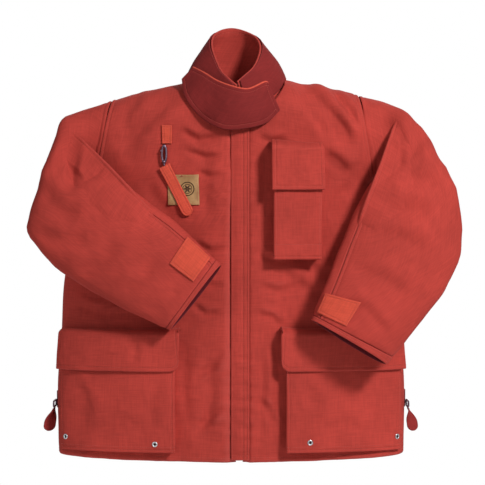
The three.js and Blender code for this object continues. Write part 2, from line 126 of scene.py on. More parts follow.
LEFT_SLEEVE = [
    [240, 737, 272, 564, 0, 62], [290, 722, 284, 564, -7, 61], [330, 702, 292, 566, -24, 58],
    [364, 662, 292, 570, -47, 54], [394, 604, 276, 566, -72, 50], [424, 548, 252, 548, -92, 46],
    [434, 486, 226, 500, -108, 43], [426, 410, 196, 434, -126, 40], [392, 340, 172, 372, -141, 38],
    [338, 270, 154, 328, -152, 36], [276, 196, 135, 286, -158, 33]]
SLEEVE_POWER = 2.7
COLLAR = [
    [-10, -104, 745, -18, -100, 695], [-26, -92, 759, -52, -92, 705], [-42, -72, 776, -82, -70, 722],
    [-54, -48, 802, -102, -40, 748], [-63, -20, 832, -112, -4, 764], [-60, 14, 856, -101, 29, 762],
    [-42, 38, 869, -62, 46, 759], [-17, 47, 873, -14, 51, 758], [10, 38, 867, 36, 46, 760],
    [34, 14, 853, 73, 29, 764], [43, -18, 832, 89, -4, 768], [38, -46, 806, 80, -42, 748],
    [27, -66, 784, 62, -72, 728], [10, -82, 767, 34, -90, 709], [-6, -92, 753, 6, -98, 700]]
THROAT = [
    [-94, -56, 788, -118, -58, 764], [-70, -86, 773, -108, -88, 722], [-46, -104, 757, -76, -100, 683],
    [-14, -118, 744, -34, -114, 661], [14, -116, 740, 14, -114, 663], [44, -98, 755, 50, -104, 674],
    [50, -90, 754, 77, -90, 700]]


def through(knots, at, column=1):
    """Smooth curve through knots [position, value...], as in the CAD source."""
    k = np.asarray(knots, float)
    pos, val = k[:, 0], k[:, column]
    p = np.clip(np.asarray(at, float), pos[0], pos[-1])
    i = np.clip(np.searchsorted(pos, p, side="left") - 1, 0, len(pos) - 2)
    slope = np.empty(len(pos))
    slope[1:-1] = (val[2:] - val[:-2]) / (pos[2:] - pos[:-2])
    slope[0] = (val[1] - val[0]) / (pos[1] - pos[0])
    slope[-1] = (val[-1] - val[-2]) / (pos[-1] - pos[-2])
    span = pos[i + 1] - pos[i]
    t = (p - pos[i]) / span
    t2, t3 = t * t, t * t * t
    return ((2 * t3 - 3 * t2 + 1) * val[i] + (t3 - 2 * t2 + t) * span * slope[i]
            + (3 * t2 - 2 * t3) * val[i + 1] + (t3 - t2) * span * slope[i + 1])


def table(rows, at, column):
    knots = [[i / (len(rows) - 1), *row] for i, row in enumerate(rows)]
    return through(knots, at, column)


def mix(a, b, t):
    return a + (b - a) * t


def smooth(t):
    t = np.clip(t, 0, 1)
    return t * t * (3 - 2 * t)


def near_line(p2, line):
    """Signed distance to a polyline and the share along it, for points (..., 2)."""
    line = np.asarray(line, float)
    seg = np.diff(line, axis=0)
    lengths = np.linalg.norm(seg, axis=1)
    starts = np.concatenate([[0], np.cumsum(lengths)])
    best = np.full(p2.shape[:-1], 1e9)
    sign = np.ones_like(best)
    along = np.zeros_like(best)
    for a, d, n, s0 in zip(line, seg, lengths, starts):
        rel = p2 - a
        raw = (rel @ d) / (n * n)
        t = np.clip(raw, 0, 1)
        off = rel - t[..., None] * d
        dist = np.linalg.norm(off, axis=-1)
        cross = d[0] * rel[..., 1] - d[1] * rel[..., 0]
        closer = dist < best
        best = np.where(closer, dist, best)
        sign = np.where(closer, np.where(cross >= 0, 1.0, -1.0), sign)
        along = np.where(closer, (s0 + t * n) / starts[-1], along)
    return best * sign, along


def xz(p):
    return p[..., [0, 2]]


def shoulder_z(x):
    return SHOULDER_Z + 0.02 * x - 36 * (x / 250) ** 2


def hem_z(x):
    return 4 + 8 * (x / 340) ** 2


def armhole_x(z):
    return mix(ARMHOLE_TOP_X, ARMHOLE_PIT_X, np.clip((737 - z) / (737 - PIT_Z), 0, 1))


def top_z(x, drop):
    t = np.minimum(1, np.abs(x) / NECK_HALF)
    return shoulder_z(x) - drop * np.sqrt(np.maximum(0, 1 - t * t)) ** 1.4


def body_point(face, angle, rise, drop):
    level = rise * TOP_LEVEL
    c = np.sign(np.cos(angle)) * np.abs(np.cos(angle)) ** (2 / SECTION_POWER)
    s = np.abs(np.sin(angle)) ** (2 / SECTION_POWER)
    x = c * through(HALF_WIDTH, level)
    z = mix(hem_z(x), top_z(x, drop), rise)
    below = np.clip((shoulder_z(x) - z) / SHOULDER_ROUND, 0, 1)
    rounding = np.sqrt(np.maximum(0, 1 - (1 - below) ** 2))
    y = face * (SEAM_GAP / 2 + through(HALF_DEPTH, level) * s * rounding)
    return np.stack([x + through(CENTRE_X, level), y, z], -1)


def angle_at(x, level):
    c = np.clip(np.abs(x) / through(HALF_WIDTH, level), 0, 1) ** (SECTION_POWER / 2)
    a = np.arccos(np.clip(c, 0, 1))
    return np.where(x >= 0, a, np.pi - a)


def side_angle(level, trim):
    cut = np.maximum(0, angle_at(armhole_x(level) - trim, level))
    return np.where(level <= PIT_Z, 0.0, cut)


def front_panel(side, centre_x, trim=SEAM_TRIM):
    """Front panel; u runs from -x to +x, v from hem to shoulder."""
    def point(u, v):
        rise = 1 - (1 - v) ** 1.35
        level = rise * TOP_LEVEL
        inner = angle_at(centre_x - through(CENTRE_X, level), level)
        outer = side_angle(level, trim)
        if side > 0:
            around = mix(inner, outer, u)
        else:
            around = mix(np.pi - outer, inner, u)
        return body_point(-1, around, rise, NECK_FRONT_DROP)
    return point


def back_panel(low, high, trim=SEAM_TRIM):
    """Back panel; u runs from +x to -x."""
    def point(u, v):
        rise = mix(low, high, v)
        outer = side_angle(rise * TOP_LEVEL, trim)
        return body_point(1, mix(outer, np.pi - outer, u), rise, NECK_BACK_DROP)
    return point


def front_xz(x, z):
    level = np.clip(z, 0, TOP_LEVEL - 1)
    cx = x - through(CENTRE_X, level)
    around = angle_at(cx, level)
    rise = np.clip((z - hem_z(cx)) / (top_z(cx, NECK_FRONT_DROP) - hem_z(cx)), 0, 1)
    y = body_point(-1, around, rise, NECK_FRONT_DROP)[..., 1]
    return np.stack([x + 0 * y, y, z + 0 * y], -1)


def armhole_ring(side, phi):
    rise = mix((PIT_Z - 10) / TOP_LEVEL, 0.999, (1 + np.cos(phi)) / 2)
    face = np.where(np.sin(phi) >= 0, -1.0, 1.0)
    outer = side_angle(rise * TOP_LEVEL, -SEAM_TRIM)
    p = body_point(face, outer if side > 0 else np.pi - outer, rise, NECK_FRONT_DROP)
    lower = smooth(np.minimum(1, np.abs(np.sin(phi)) * 2.2))
    p[..., 1] *= np.where(np.cos(phi) < 0, lower, 1)
    return p


# Folded-over forearm: a sheet that runs from the point of the shoulder across the crook of the elbow.
# x, z and y along its upper edge, how far it reaches below it, and which way at either end
FOREARM = {
    -1: {"edge": [(-360, 684, -62, 50), (-304, 634, -88, 108), (-258, 590, -120, 124), (-219, 550, -142, 110),
                  (-186, 516, -146, 70), (-160, 490, -140, 36)],
         "ways": ((-0.1, -1.0), (-0.69, -0.73))},
    1: {"edge": [(316, 704, -62, 40), (294, 650, -86, 94), (273, 596, -114, 112), (253, 548, -134, 110),
                 (234, 500, -142, 70), (221, 462, -140, 36)],
        "ways": ((0.5, -0.86), (0.92, -0.4))},
}


def front_of(names, cell=4.0, beyond=12):
    """The front-most y of some pieces over x and z, carried on a little past their outline."""
    points = np.concatenate([SURFACES[name][0].reshape(-1, 3) for name in names])
    low = xz(points).min(0) - beyond * cell
    size = np.ceil((xz(points).max(0) - low) / cell).astype(int) + beyond
    grid = np.full(size, np.inf)
    at = ((xz(points) - low) / cell).astype(int)
    np.minimum.at(grid, (at[:, 0], at[:, 1]), points[:, 1])
    known = np.isfinite(grid).astype(float)
    grid = np.where(known > 0, grid, 0.0)
    steps = [(dx, dz) for dx in (-1, 0, 1) for dz in (-1, 0, 1)]
    for _ in range(beyond):
        total = sum(np.roll(grid * known, step, (0, 1)) for step in steps)
        count = sum(np.roll(known, step, (0, 1)) for step in steps)
        grid = np.where(known > 0, grid, total / np.maximum(count, 1))
        known = np.maximum(known, (count > 0).astype(float))
    for _ in range(2):
        grid = sum(np.roll(grid, step, (0, 1)) for step in steps) / len(steps)

    def sample(x, z):
        gx = np.clip((x - low[0]) / cell - 0.5, 0, size[0] - 2)
        gz = np.clip((z - low[1]) / cell - 0.5, 0, size[1] - 2)
        i, j = gx.astype(int), gz.astype(int)
        low_row = mix(grid[i, j], grid[i + 1, j], gx - i)
        high_row = mix(grid[i, j + 1], grid[i + 1, j + 1], gx - i)
        return mix(low_row, high_row, gz - j)
    return sample


def forearm_sheet(side, skyline, blend=12.0):
    edge = [[k / 5, *row] for k, row in enumerate(FOREARM[side]["edge"])]
    (wx0, wz0), (wx1, wz1) = FOREARM[side]["ways"]

    def point(u, v):
        u = u if side > 0 else 1 - u
        x0, z0, y0, reach = (through(edge, u, column) for column in (1, 2, 3, 4))
        wx, wz = mix(wx0, wx1, u) * reach, mix(wz0, wz1, u) * reach
        x, z = x0 + wx * v, z0 + wz * v
        below = skyline(x, z)
        ruled = mix(y0, skyline(x0 + wx, z0 + wz), v)
        share = np.clip(0.5 + 0.5 * (below - 2 - ruled) / blend, 0, 1)
        ahead = mix(below - 2, ruled, share) - blend * share * (1 - share) * 0.5
        hide = np.maximum.reduce([smooth((v - 0.5) / 0.5), 1 - smooth(u / 0.2), smooth((u - 0.84) / 0.16)])
        return np.stack([x, mix(ahead, below + 4.5, hide), z], -1)
    return point


# outer edge of the right sleeve, pressed into straight runs: x, z
RIGHT_OUTLINE = [[-262, 727], [-310, 709], [-362, 688], [-383, 612], [-407, 527], [-426, 458], [-362, 388],
                 [-300, 350], [-236, 315], [-180, 287], [-132, 266]]


def edge_table(rows, at, column):
    """As table(), but straight between the rows, so that the corners of the outline stay crisp."""
    values = np.array([row[column - 1] for row in rows], float)
    blur = 0.016
    share = np.linspace(0, 1, len(rows))
    return sum(np.interp(np.clip(at + k * blur, 0, 1), share, values) for k in (-1, 0, 1)) / 3


def sleeve_point(side, s, phi):
    rows = LEFT_SLEEVE if side > 0 else RIGHT_SLEEVE
    c = np.sign(np.cos(phi)) * np.abs(np.cos(phi)) ** (2 / SLEEVE_POWER)
    d = np.sign(np.sin(phi)) * np.abs(np.sin(phi)) ** (2 / SLEEVE_POWER)
    k = (1 + c) / 2
    crisp = k ** 2 * (0.9 if side < 0 else 0.35)
    crisp_rows = RIGHT_OUTLINE if side < 0 else rows
    outer_x = mix(table(rows, s, 1), edge_table(crisp_rows, s, 1), crisp)
    outer_z = mix(table(rows, s, 2), edge_table(crisp_rows, s, 2), crisp)
    p = np.stack([mix(table(rows, s, 3), outer_x, k),
                  table(rows, s, 5) - d * table(rows, s, 6),
                  mix(table(rows, s, 4), outer_z, k)], -1)
    blend = smooth(1 - s / 0.1)[..., None]
    return mix(p, armhole_ring(side, phi), blend)


def sleeve_patch(side, s0, s1, phi0, phi1):
    """u runs so that the normal faces out."""
    return lambda u, v: sleeve_point(side, mix(s0, s1, v), mix(phi0, phi1, u if side > 0 else 1 - u))


def collar_point(u, v):
    p = np.stack([table(COLLAR, u, 4 + i) + (table(COLLAR, u, 1 + i) - table(COLLAR, u, 4 + i)) * v
                  for i in range(3)], -1)
    bulge = 9 * np.sin(np.pi * np.clip(v, 0, 1)) * np.sin(np.pi * u)
    out = np.stack([p[..., 0] + 12, p[..., 1] + 10], -1)
    out /= np.linalg.norm(out, axis=-1, keepdims=True)
    p[..., :2] += out * bulge[..., None]
    return p


def throat_point(u, v):
    p = np.stack([mix(table(THROAT, u, 4 + i), table(THROAT, u, 1 + i), v) for i in range(3)], -1)
    p[..., 1] -= 6 * np.sin(np.pi * v) * np.sin(np.pi * u)
    return p


# ---- noise and folds ----
def crest(d, at, width):
    """A smooth bump of height 1 at distance `at`."""
    return np.exp(-((d - at) / width) ** 2)


RNG = np.random.default_rng(20)
SHUFFLED = RNG.permutation(256)
SLOPES = RNG.normal(size=(256, 3))
SLOPES /= np.linalg.norm(SLOPES, axis=1, keepdims=True)


def noise(p):
    """Gradient noise of points (..., 3), about -1 to 1."""
    base = np.floor(p).astype(int)
    f = p - base
    w = f * f * f * (f * (f * 6 - 15) + 10)
    total = np.zeros(p.shape[:-1])
    for dx in (0, 1):
        for dy in (0, 1):
            for dz in (0, 1):
                h = SHUFFLED[(base[..., 0] + dx) & 255]
                h = SHUFFLED[(h + base[..., 1] + dy) & 255]
                h = SHUFFLED[(h + base[..., 2] + dz) & 255]
                g = SLOPES[h]
                corner = g[..., 0] * (f[..., 0] - dx) + g[..., 1] * (f[..., 1] - dy) \
                    + g[..., 2] * (f[..., 2] - dz)
                total += corner * np.where(dx, w[..., 0], 1 - w[..., 0]) \
                    * np.where(dy, w[..., 1], 1 - w[..., 1]) * np.where(dz, w[..., 2], 1 - w[..., 2])
    return total * 1.6


def rumple(p, size, seed, stretch=(1, 1, 1)):
    """Soft cloth folds of about `size` mm: warped noise with sharpened crests, about -1 to 1."""
    q = p / size * np.asarray(stretch) + seed * 7.31
    warp = np.stack([noise(q * 0.7 + 11.3), noise(q * 0.7 + 31.7), noise(q * 0.7 + 53.1)], -1)
    q = q + warp * 0.55
    soft = noise(q)
    ridge = 1 - 2.2 * np.abs(noise(q * 1.15 + 5.5))
    return 0.55 * soft + 0.45 * ridge * smooth(0.5 + noise(q * 0.5 + 17.0))


def fold(p2, line, width, height, lean=0.35, ends=0.3):
    """A fold along a line: height < 0 is a valley. lean moves cloth up on the left-hand side."""
    d, t = near_line(p2, line)
    taper = smooth(t / ends) * smooth((1 - t) / ends)
    core = np.exp(-(d / width) ** 2)
    shoulder = np.exp(-((d - 1.7 * width) / (1.1 * width)) ** 2)
    return height * taper * (core - lean * shoulder)


# ---- materials ----
class Graph:
    """The node graph of one material."""

    def __init__(self, name, color, rough, metallic=0.0):
        self.material = bpy.data.materials.new(name)
        self.material.use_nodes = True
        self.shader = self.material.node_tree.nodes["Principled BSDF"]
        self.set(self.shader, {"Base Color": (*color, 1), "Roughness": rough, "Metallic": metallic})

    def set(self, node, inputs):
        """An input takes a plain value, or the socket that feeds it."""
        for key, value in inputs.items():
            if isinstance(value, bpy.types.NodeSocket):
                self.material.node_tree.links.new(value, node.inputs[key])
            else:
                node.inputs[key].default_value = value

    def add(self, kind, inputs=None, **settings):
        node = self.material.node_tree.nodes.new("ShaderNode" + kind)
        for key, value in settings.items():
            setattr(node, key, value)
        self.set(node, inputs or {})
        return node

    def place(self):
        return self.add("TexCoord").outputs["Object"]

    def math(self, operation, a, b):
        return self.add("Math", {0: a, 1: b}, operation=operation).outputs[0]

    def ramp(self, factor, low, high, a=0.0, b=1.0):
        node = self.add("ValToRGB", {"Fac": factor})
        for element, position, color in zip(node.color_ramp.elements, (a, b), (low, high)):
            element.position = position
            element.color = (*color, 1)
        return node.outputs["Color"]


def woven(name, color, pitch=900.0, depth=0.00022, spread=0.10, rough=0.86, coords=None):
    """Plain weave on the piece's own metre-scaled UV map, with slubs and soft colour drift."""
    g = Graph(name, color, rough)
    g.set(g.shader, {"Sheen Weight": 0.10, "Sheen Roughness": 0.5, "Specular IOR Level": 0.18,
                     "Sheen Tint": (*[min(1, c * 1.6 + 0.05) for c in color], 1)})
    place = g.add("TexCoord").outputs[coords] if coords else g.add("UVMap", uv_map="UVMap").outputs["UV"]
    waves = [g.add("TexWave", {"Scale": pitch / 6.28, "Distortion": 0.6, "Detail": 1.0, "Detail Scale": 2.0,
                               "Vector": place}, wave_type="BANDS", bands_direction=axis).outputs["Fac"]
             for axis in ("X", "Y")]
    threads = []
    for scale in ((420, 26, 1), (26, 420, 1)):
        drawn_out = g.add("Mapping", {"Scale": scale, "Vector": place}).outputs["Vector"]
        threads.append(g.add("TexNoise", {"Scale": 1.0, "Detail": 2.0, "Vector": drawn_out}).outputs["Fac"])
    slubs = g.math("ADD", *threads)
    drift = g.add("TexNoise", {"Scale": 9.0, "Detail": 4.0, "Roughness": 0.6, "Vector": g.place()})
    tone = g.ramp(drift.outputs["Fac"], [c * (1 - spread) for c in color],
                  [min(1, c * (1 + spread)) for c in color], 0.35, 0.65)
    shade = g.ramp(g.math("MULTIPLY", slubs, 0.5), (0.80,) * 3, (1.14,) * 3, 0.40, 0.60)
    flecked = g.add("Mix", {"Factor": 0.55, "A": tone, "B": shade}, data_type="RGBA", blend_type="MULTIPLY")
    # pale wear along the raised edges
    edge = g.ramp(g.add("NewGeometry").outputs["Pointiness"], (0,) * 3, (1,) * 3, 0.52, 0.62)
    pale = (*[min(1, c * 1.25 + 0.06) for c in color], 1)
    worn = g.add("Mix", {"Factor": g.math("MULTIPLY", edge, 0.35), "A": flecked.outputs["Result"], "B": pale},
                 data_type="RGBA")
    height = g.math("ADD", g.math("ADD", *waves), slubs)
    bump = g.add("Bump", {"Strength": 0.5, "Distance": depth, "Height": height})
    g.set(g.shader, {"Base Color": worn.outputs["Result"], "Normal": bump.outputs["Normal"]})
    return g.material


def mottled(name, color, rough, low, high, scale=5.0, a=0.0, b=1.0):
    g = Graph(name, color, rough)
    spots = g.add("TexNoise", {"Scale": scale})
    g.set(g.shader, {"Base Color": g.ramp(spots.outputs["Fac"], low, high, a, b)})
    return g.material


def metal(name, dark, light, rough):
    g = Graph(name, light, rough, 1.0)
    grain = g.add("TexNoise", {"Scale": 900, "Detail": 3, "Vector": g.place()}).outputs["Fac"]
    g.set(g.shader, {"Base Color": g.ramp(grain, dark, light, 0.35, 0.6),
                     "Roughness": g.ramp(grain, (rough * 0.8,) * 3, (min(1, rough * 1.4),) * 3, 0.4, 0.7)})
    return g.material


def tan_leather():
    g = Graph("tan_leather", (0.36, 0.19, 0.07), 0.62)
    grain = g.add("TexVoronoi", {"Scale": 620, "Vector": g.place()})
    spots = g.add("TexNoise", {"Scale": 60, "Detail": 5, "Vector": g.place()})
    bump = g.add("Bump", {"Strength": 0.35, "Distance": 0.0004, "Height": grain.outputs["Distance"]})
    tone = g.ramp(spots.outputs["Fac"], (0.27, 0.135, 0.045), (0.45, 0.26, 0.105), 0.3, 0.7)
    g.set(g.shader, {"Base Color": tone, "Normal": bump.outputs["Normal"]})
    return g.material


MAT = {
    "shell": woven("shell_weave", (0.405, 0.042, 0.031)),
    # shell colour at about half strength: painted shade on the throat flap and the inside of the collar,
    # which are shell fabric in shadow
    "throat": woven("shell_weave_painted_shade", (0.20, 0.017, 0.016)),
    "lining": woven("lining_weave", (0.26, 0.024, 0.022), pitch=1200, rough=0.92),
    "webbing": woven("webbing_weave", (0.17, 0.018, 0.026), pitch=1800, depth=0.0004, spread=0.16),
    "tape": woven("zip_tape_weave", (0.22, 0.025, 0.03), pitch=1400),
    "knit": woven("rib_knit", (0.19, 0.022, 0.026), pitch=1100, depth=0.0008, spread=0.2),
    # near-black colour for the cuffs' inner faces: painted shade inside the sleeve openings
    "mouth": woven("cuff_mouth_painted_shade", (0.10, 0.008, 0.012), rough=0.95),
    "tab": woven("tab_weave", (0.55, 0.068, 0.038)),
    "loop": woven("loop_webbing", (0.17, 0.018, 0.026), pitch=1800, depth=0.0004, coords="Object"),
    "thread": mottled("thread", (0.45, 0.07, 0.05), 0.7, (0.36, 0.045, 0.032), (0.50, 0.09, 0.065), 300),
    "emboss": mottled("leather_emboss", (0.07, 0.03, 0.015), 0.55, (0.05, 0.022, 0.012), (0.12, 0.055, 0.025),
                      # near-black colour of the disk behind each eyelet: painted shade in the hole
                      200, 0.3, 0.7),
    "hole": mottled("eyelet_hole", (0.02, 0.006, 0.006), 0.95, (0.015, 0.004, 0.004), (0.035, 0.01, 0.01)),
    "metal": metal("nickel", (0.50, 0.50, 0.52), (0.82, 0.82, 0.84), 0.30),
    "dark_metal": metal("dark_steel", (0.10, 0.06, 0.09), (0.24, 0.17, 0.22), 0.38),
    "leather": tan_leather(),
}


# ---- building cloth ----
# cloth that stays sewn down on one side of its hinge and turns on the other: x, z of start and end
SEWN_HINGES = {"radio_flap": ((110, 634), (110, 612)), "storm_fly": ((-20, 340), (-9, 340))}


def make_mesh(name, verts_mm, faces, uvs, material, body):
    mesh = bpy.data.meshes.new(name)
    mesh.from_pydata(to_row(verts_mm).tolist(), [], faces)
    layer = mesh.uv_layers.new(name="UVMap")
    loops = np.empty(len(mesh.loops), int)
    mesh.loops.foreach_get("vertex_index", loops)
    layer.data.foreach_set("uv", (np.asarray(uvs)[loops] * 0.001).ravel())
    mesh.polygons.foreach_set("use_smooth", [True] * len(mesh.polygons))
    mesh.materials.append(MAT[material])
    obj = new_object(name, mesh)
    if body not in SEWN_HINGES:
        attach(obj, body)
    return obj


def normals_of(p, closed=False):
    du = np.roll(p, -1, 0) - np.roll(p, 1, 0) if closed else np.gradient(p, axis=0)
    n = np.cross(du, np.gradient(p, axis=1))
    return n / np.maximum(np.linalg.norm(n, axis=-1, keepdims=True), 1e-9)


def edge_distance(p):
    """Millimetres along the cloth from each of the four edges: u0, u1, v0, v1."""
    du = np.linalg.norm(np.diff(p, axis=0), axis=-1)
    dv = np.linalg.norm(np.diff(p, axis=1), axis=-1)
    a = np.concatenate([np.zeros((1, p.shape[1])), np.cumsum(du, 0)], 0)
    b = np.concatenate([np.zeros((p.shape[0], 1)), np.cumsum(dv, 1)], 1)
    return [a, a[-1:] - a, b, b[:, -1:] - b]


SURFACES = {}


def cloth(name, point, nu, nv, material="shell", body="coat", thick=4.0, shape=None, off=0.0,
          roll=2.2, closed=False, inside=None, replaces=None, us=None,
          vs=None):
    """A closed sheet of cloth over point(u, v); shape(p, edges) moves its outer face out by that many
    mm. It stands for the CAD node of the same name unless `replaces` says otherwise (() for none)."""
    us = np.linspace(0, 1, nu, endpoint=not closed) if us is None else us
    vs = np.linspace(0, 1, nv) if vs is None else vs
    u, v = np.meshgrid(us, vs, indexing="ij")
    p = point(u, v)
    lift = off(u, v) if callable(off) else off
    p = p + normals_of(p, closed) * np.broadcast_to(lift, p.shape[:2])[..., None]
    edges = edge_distance(p)
    if shape is not None:
        p = p + normals_of(p, closed) * shape(p, edges)[..., None]
    n = normals_of(p, closed)
    nearest = np.minimum.reduce(edges[2:] if closed else edges)
    t = np.clip(1 - nearest / roll, 0, 1)
    fall = roll * 0.8 * (1 - np.sqrt(np.maximum(0, 1 - t * t)))
    top = p - n * fall[..., None]
    bottom = p - n * (thick - fall * 0.6)[..., None]
    SURFACES[name] = (p, n)
    a, b = p.shape[:2]
    uv = np.stack([edges[0], edges[2]], -1).reshape(-1, 2)
    top_id = np.arange(a * b).reshape(a, b)
    if closed:
        top_id = np.concatenate([top_id, top_id[:1]], 0)
    low_id = top_id + a * b

    def quads(*corners):
        return np.stack(corners, -1).reshape(-1, 4)

    faces = [quads(top_id[:-1, :-1], top_id[1:, :-1], top_id[1:, 1:], top_id[:-1, 1:]),
             quads(low_id[:-1, :-1], low_id[:-1, 1:], low_id[1:, 1:], low_id[1:, :-1]),
             quads(low_id[:-1, 0], low_id[1:, 0], top_id[1:, 0], top_id[:-1, 0]),
             quads(top_id[:-1, -1], top_id[1:, -1], low_id[1:, -1], low_id[:-1, -1])]
    if not closed:
        faces += [quads(top_id[0, :-1], top_id[0, 1:], low_id[0, 1:], low_id[0, :-1]),
                  quads(low_id[-1, :-1], low_id[-1, 1:], top_id[-1, 1:], top_id[-1, :-1])]
    obj = make_mesh(f"{name}_cloth", np.concatenate([top.reshape(-1, 3), bottom.reshape(-1, 3)]),
                    np.concatenate(faces).tolist(), np.concatenate([uv, uv + 3000]), material, body)
    if inside:
        obj.data.materials.append(MAT[inside])
        kinds = np.zeros(len(obj.data.polygons), int)
        kinds[len(faces[0]):len(faces[0]) + len(faces[1])] = 1
        obj.data.polygons.foreach_set("material_index", kinds)
    replaces = [name] if replaces is None else replaces
    if replaces:
        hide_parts(*replaces)
    return obj


# ---- sewing ----
def polyline_at(p, step):
    """Points along a polyline at even steps."""
    lengths = np.linalg.norm(np.diff(p, axis=0), axis=-1)
    s = np.concatenate([[0], np.cumsum(lengths)])
    at = np.linspace(0, s[-1], max(2, int(s[-1] / step)))
    return np.stack([np.interp(at, s, p[:, k]) for k in range(p.shape[1])], -1)


def along_edge(name, edge, inset, lo=0.0, hi=1.0):
    """A line on a piece, `inset` mm from one of its edges: rows of point and normal."""
    p, n = SURFACES[name]
    if edge in ("u1", "v1"):
        p, n = (p[::-1], n[::-1]) if edge == "u1" else (p[:, ::-1], n[:, ::-1])
    if edge[0] == "v":
        p, n = p.transpose(1, 0, 2), n.transpose(1, 0, 2)
    d = np.concatenate([np.zeros((1, p.shape[1])),
                        np.cumsum(np.linalg.norm(np.diff(p, axis=0), axis=-1), 0)], 0)
    both = np.concatenate([p, n], -1)
    rows = []
    count = p.shape[1]
    for j in range(int(lo * (count - 1)), int(hi * (count - 1)) + 1):
        rows.append([np.interp(inset, d[:, j], both[:, j, k]) for k in range(6)])
    return np.array(rows)


STITCHES = {}
STITCH_PITCH, STITCH_LENGTH, STITCH_WIDE, STITCH_HIGH = 3.6, 2.7, 1.0, 0.55


def stitch(line, body="coat"):
    """Thread bumps along rows of point and normal."""
    even = polyline_at(line, STITCH_PITCH)
    if len(even) < 3:
        return
    mid = (even[1:] + even[:-1]) / 2
    along = even[1:, :3] - even[:-1, :3]
    along /= np.maximum(np.linalg.norm(along, axis=-1, keepdims=True), 1e-9)
    up = mid[:, 3:] / np.maximum(np.linalg.norm(mid[:, 3:], axis=-1, keepdims=True), 1e-9)
    side = np.cross(along, up)
    c = mid[:, :3]
    half, wide, high = STITCH_LENGTH / 2, STITCH_WIDE / 2, STITCH_HIGH
    corners = [c - along * half - up * 0.5, c + along * half - up * 0.5]
    for shift in (-0.45, 0.45):
        base = c + along * half * 2 * shift * 0.8
        corners += [base - side * wide - up * 0.3, base + up * high, base + side * wide - up * 0.3]
    STITCHES.setdefault(body, []).append(np.stack(corners, 1))


ALL_ROUND = ("u0", "u1", "v0", "v1")


def sew(name, edges, insets, body="coat", lo=0.0, hi=1.0):
    """Rows of stitches along some edges of a piece, at each inset."""
    for inset in insets:
        for edge in edges:
            stitch(along_edge(name, edge, inset, lo, hi), body)


STITCH_FACES = [(0, 2, 3), (0, 3, 4), (0, 4, 2), (2, 5, 6, 3), (3, 6, 7, 4), (4, 7, 5, 2), (1, 6, 5),
                (1, 7, 6), (1, 5, 7)]


def finish_stitches():
    for body, groups in STITCHES.items():
        verts = np.concatenate(groups)
        faces = [[i * 8 + k for k in face] for i in range(len(verts)) for face in STITCH_FACES]
        verts = verts.reshape(-1, 3)
        obj = make_mesh(f"stitching_{body}", verts, faces, verts[:, [0, 2]], "thread", body)


def tube(name, line, radius, material, body="coat", sides=10, closed=False):
    """Round cord along points (n, 3)."""
    line = np.asarray(line, float)
    ahead = np.roll(line, -1, 0) - np.roll(line, 1, 0) if closed else np.gradient(line, axis=0)
    ahead /= np.linalg.norm(ahead, axis=-1, keepdims=True)
    ref = np.array([0.03, 0.05, 1.0])
    side = np.cross(ahead, ref)
    weak = np.linalg.norm(side, axis=-1) < 0.3
    side[weak] = np.cross(ahead[weak], [0, 1, 0.1])
    side /= np.linalg.norm(side, axis=-1, keepdims=True)
    up = np.cross(side, ahead)
    angle = np.linspace(0, 2 * np.pi, sides, endpoint=False)
    ring = line[:, None] + radius * (np.cos(angle)[None, :, None] * side[:, None]
                                     + np.sin(angle)[None, :, None] * up[:, None])
    count = len(line)
    verts = ring.reshape(-1, 3)
    faces = []
    for i in range(count if closed else count - 1):
        for j in range(sides):
            a, b = i * sides + j, i * sides + (j + 1) % sides
            c, d = ((i + 1) % count) * sides + (j + 1) % sides, ((i + 1) % count) * sides + j
            faces.append([a, d, c, b])
    if not closed:
        faces.append(list(range(sides)))
        faces.append([(count - 1) * sides + j for j in reversed(range(sides))])
    run = np.repeat(np.arange(count) * 2.0, sides)
    uv = np.stack([np.tile(np.arange(sides) * 1.0, count), run], -1)
    obj = make_mesh(name, verts, faces, uv, material, body)
    return obj


def solid(name, build, material, body, replaces=()):
    """A hard piece made by build(bm) in drawing millimetres."""
    bm = bmesh.new()
    build(bm)
    mesh = bpy.data.meshes.new(name)
    bmesh.ops.recalc_face_normals(bm, faces=bm.faces)
    bm.to_mesh(mesh)
    bm.free()
    mesh.transform(Matrix.Translation(Vector(-LOOP)))
    mesh.transform(Matrix.Scale(0.001, 4))
    mesh.polygons.foreach_set("use_smooth", [True] * len(mesh.polygons))
    mesh.materials.append(MAT[material])
    obj = new_object(name, mesh)
    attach(obj, body)
    if replaces:
        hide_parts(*replaces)
    return obj


def box(bm, centre, size):
    place = Matrix.Translation(Vector(centre)) @ Matrix.Diagonal((*size, 1))
    bmesh.ops.create_cube(bm, size=1, matrix=place)


# ---- body panels ----
def seam_ridge(d, groove=1.0, ridge=0.8, at=9.0):
    """Sewn seam: cloth sinks at the edge and swells between the edge and the topstitching."""
    return ridge * crest(d, at * 0.5, at * 0.28) - groove * crest(d, at, 1.8) * 0.6


def hem_wave(p):
    near_hem = np.exp(-np.maximum(0, p[..., 2] - 4) / 34)
    return near_hem * (3.0 * noise(p / 62 + 3.1) + 1.2 * noise(p / 27 + 9.7))


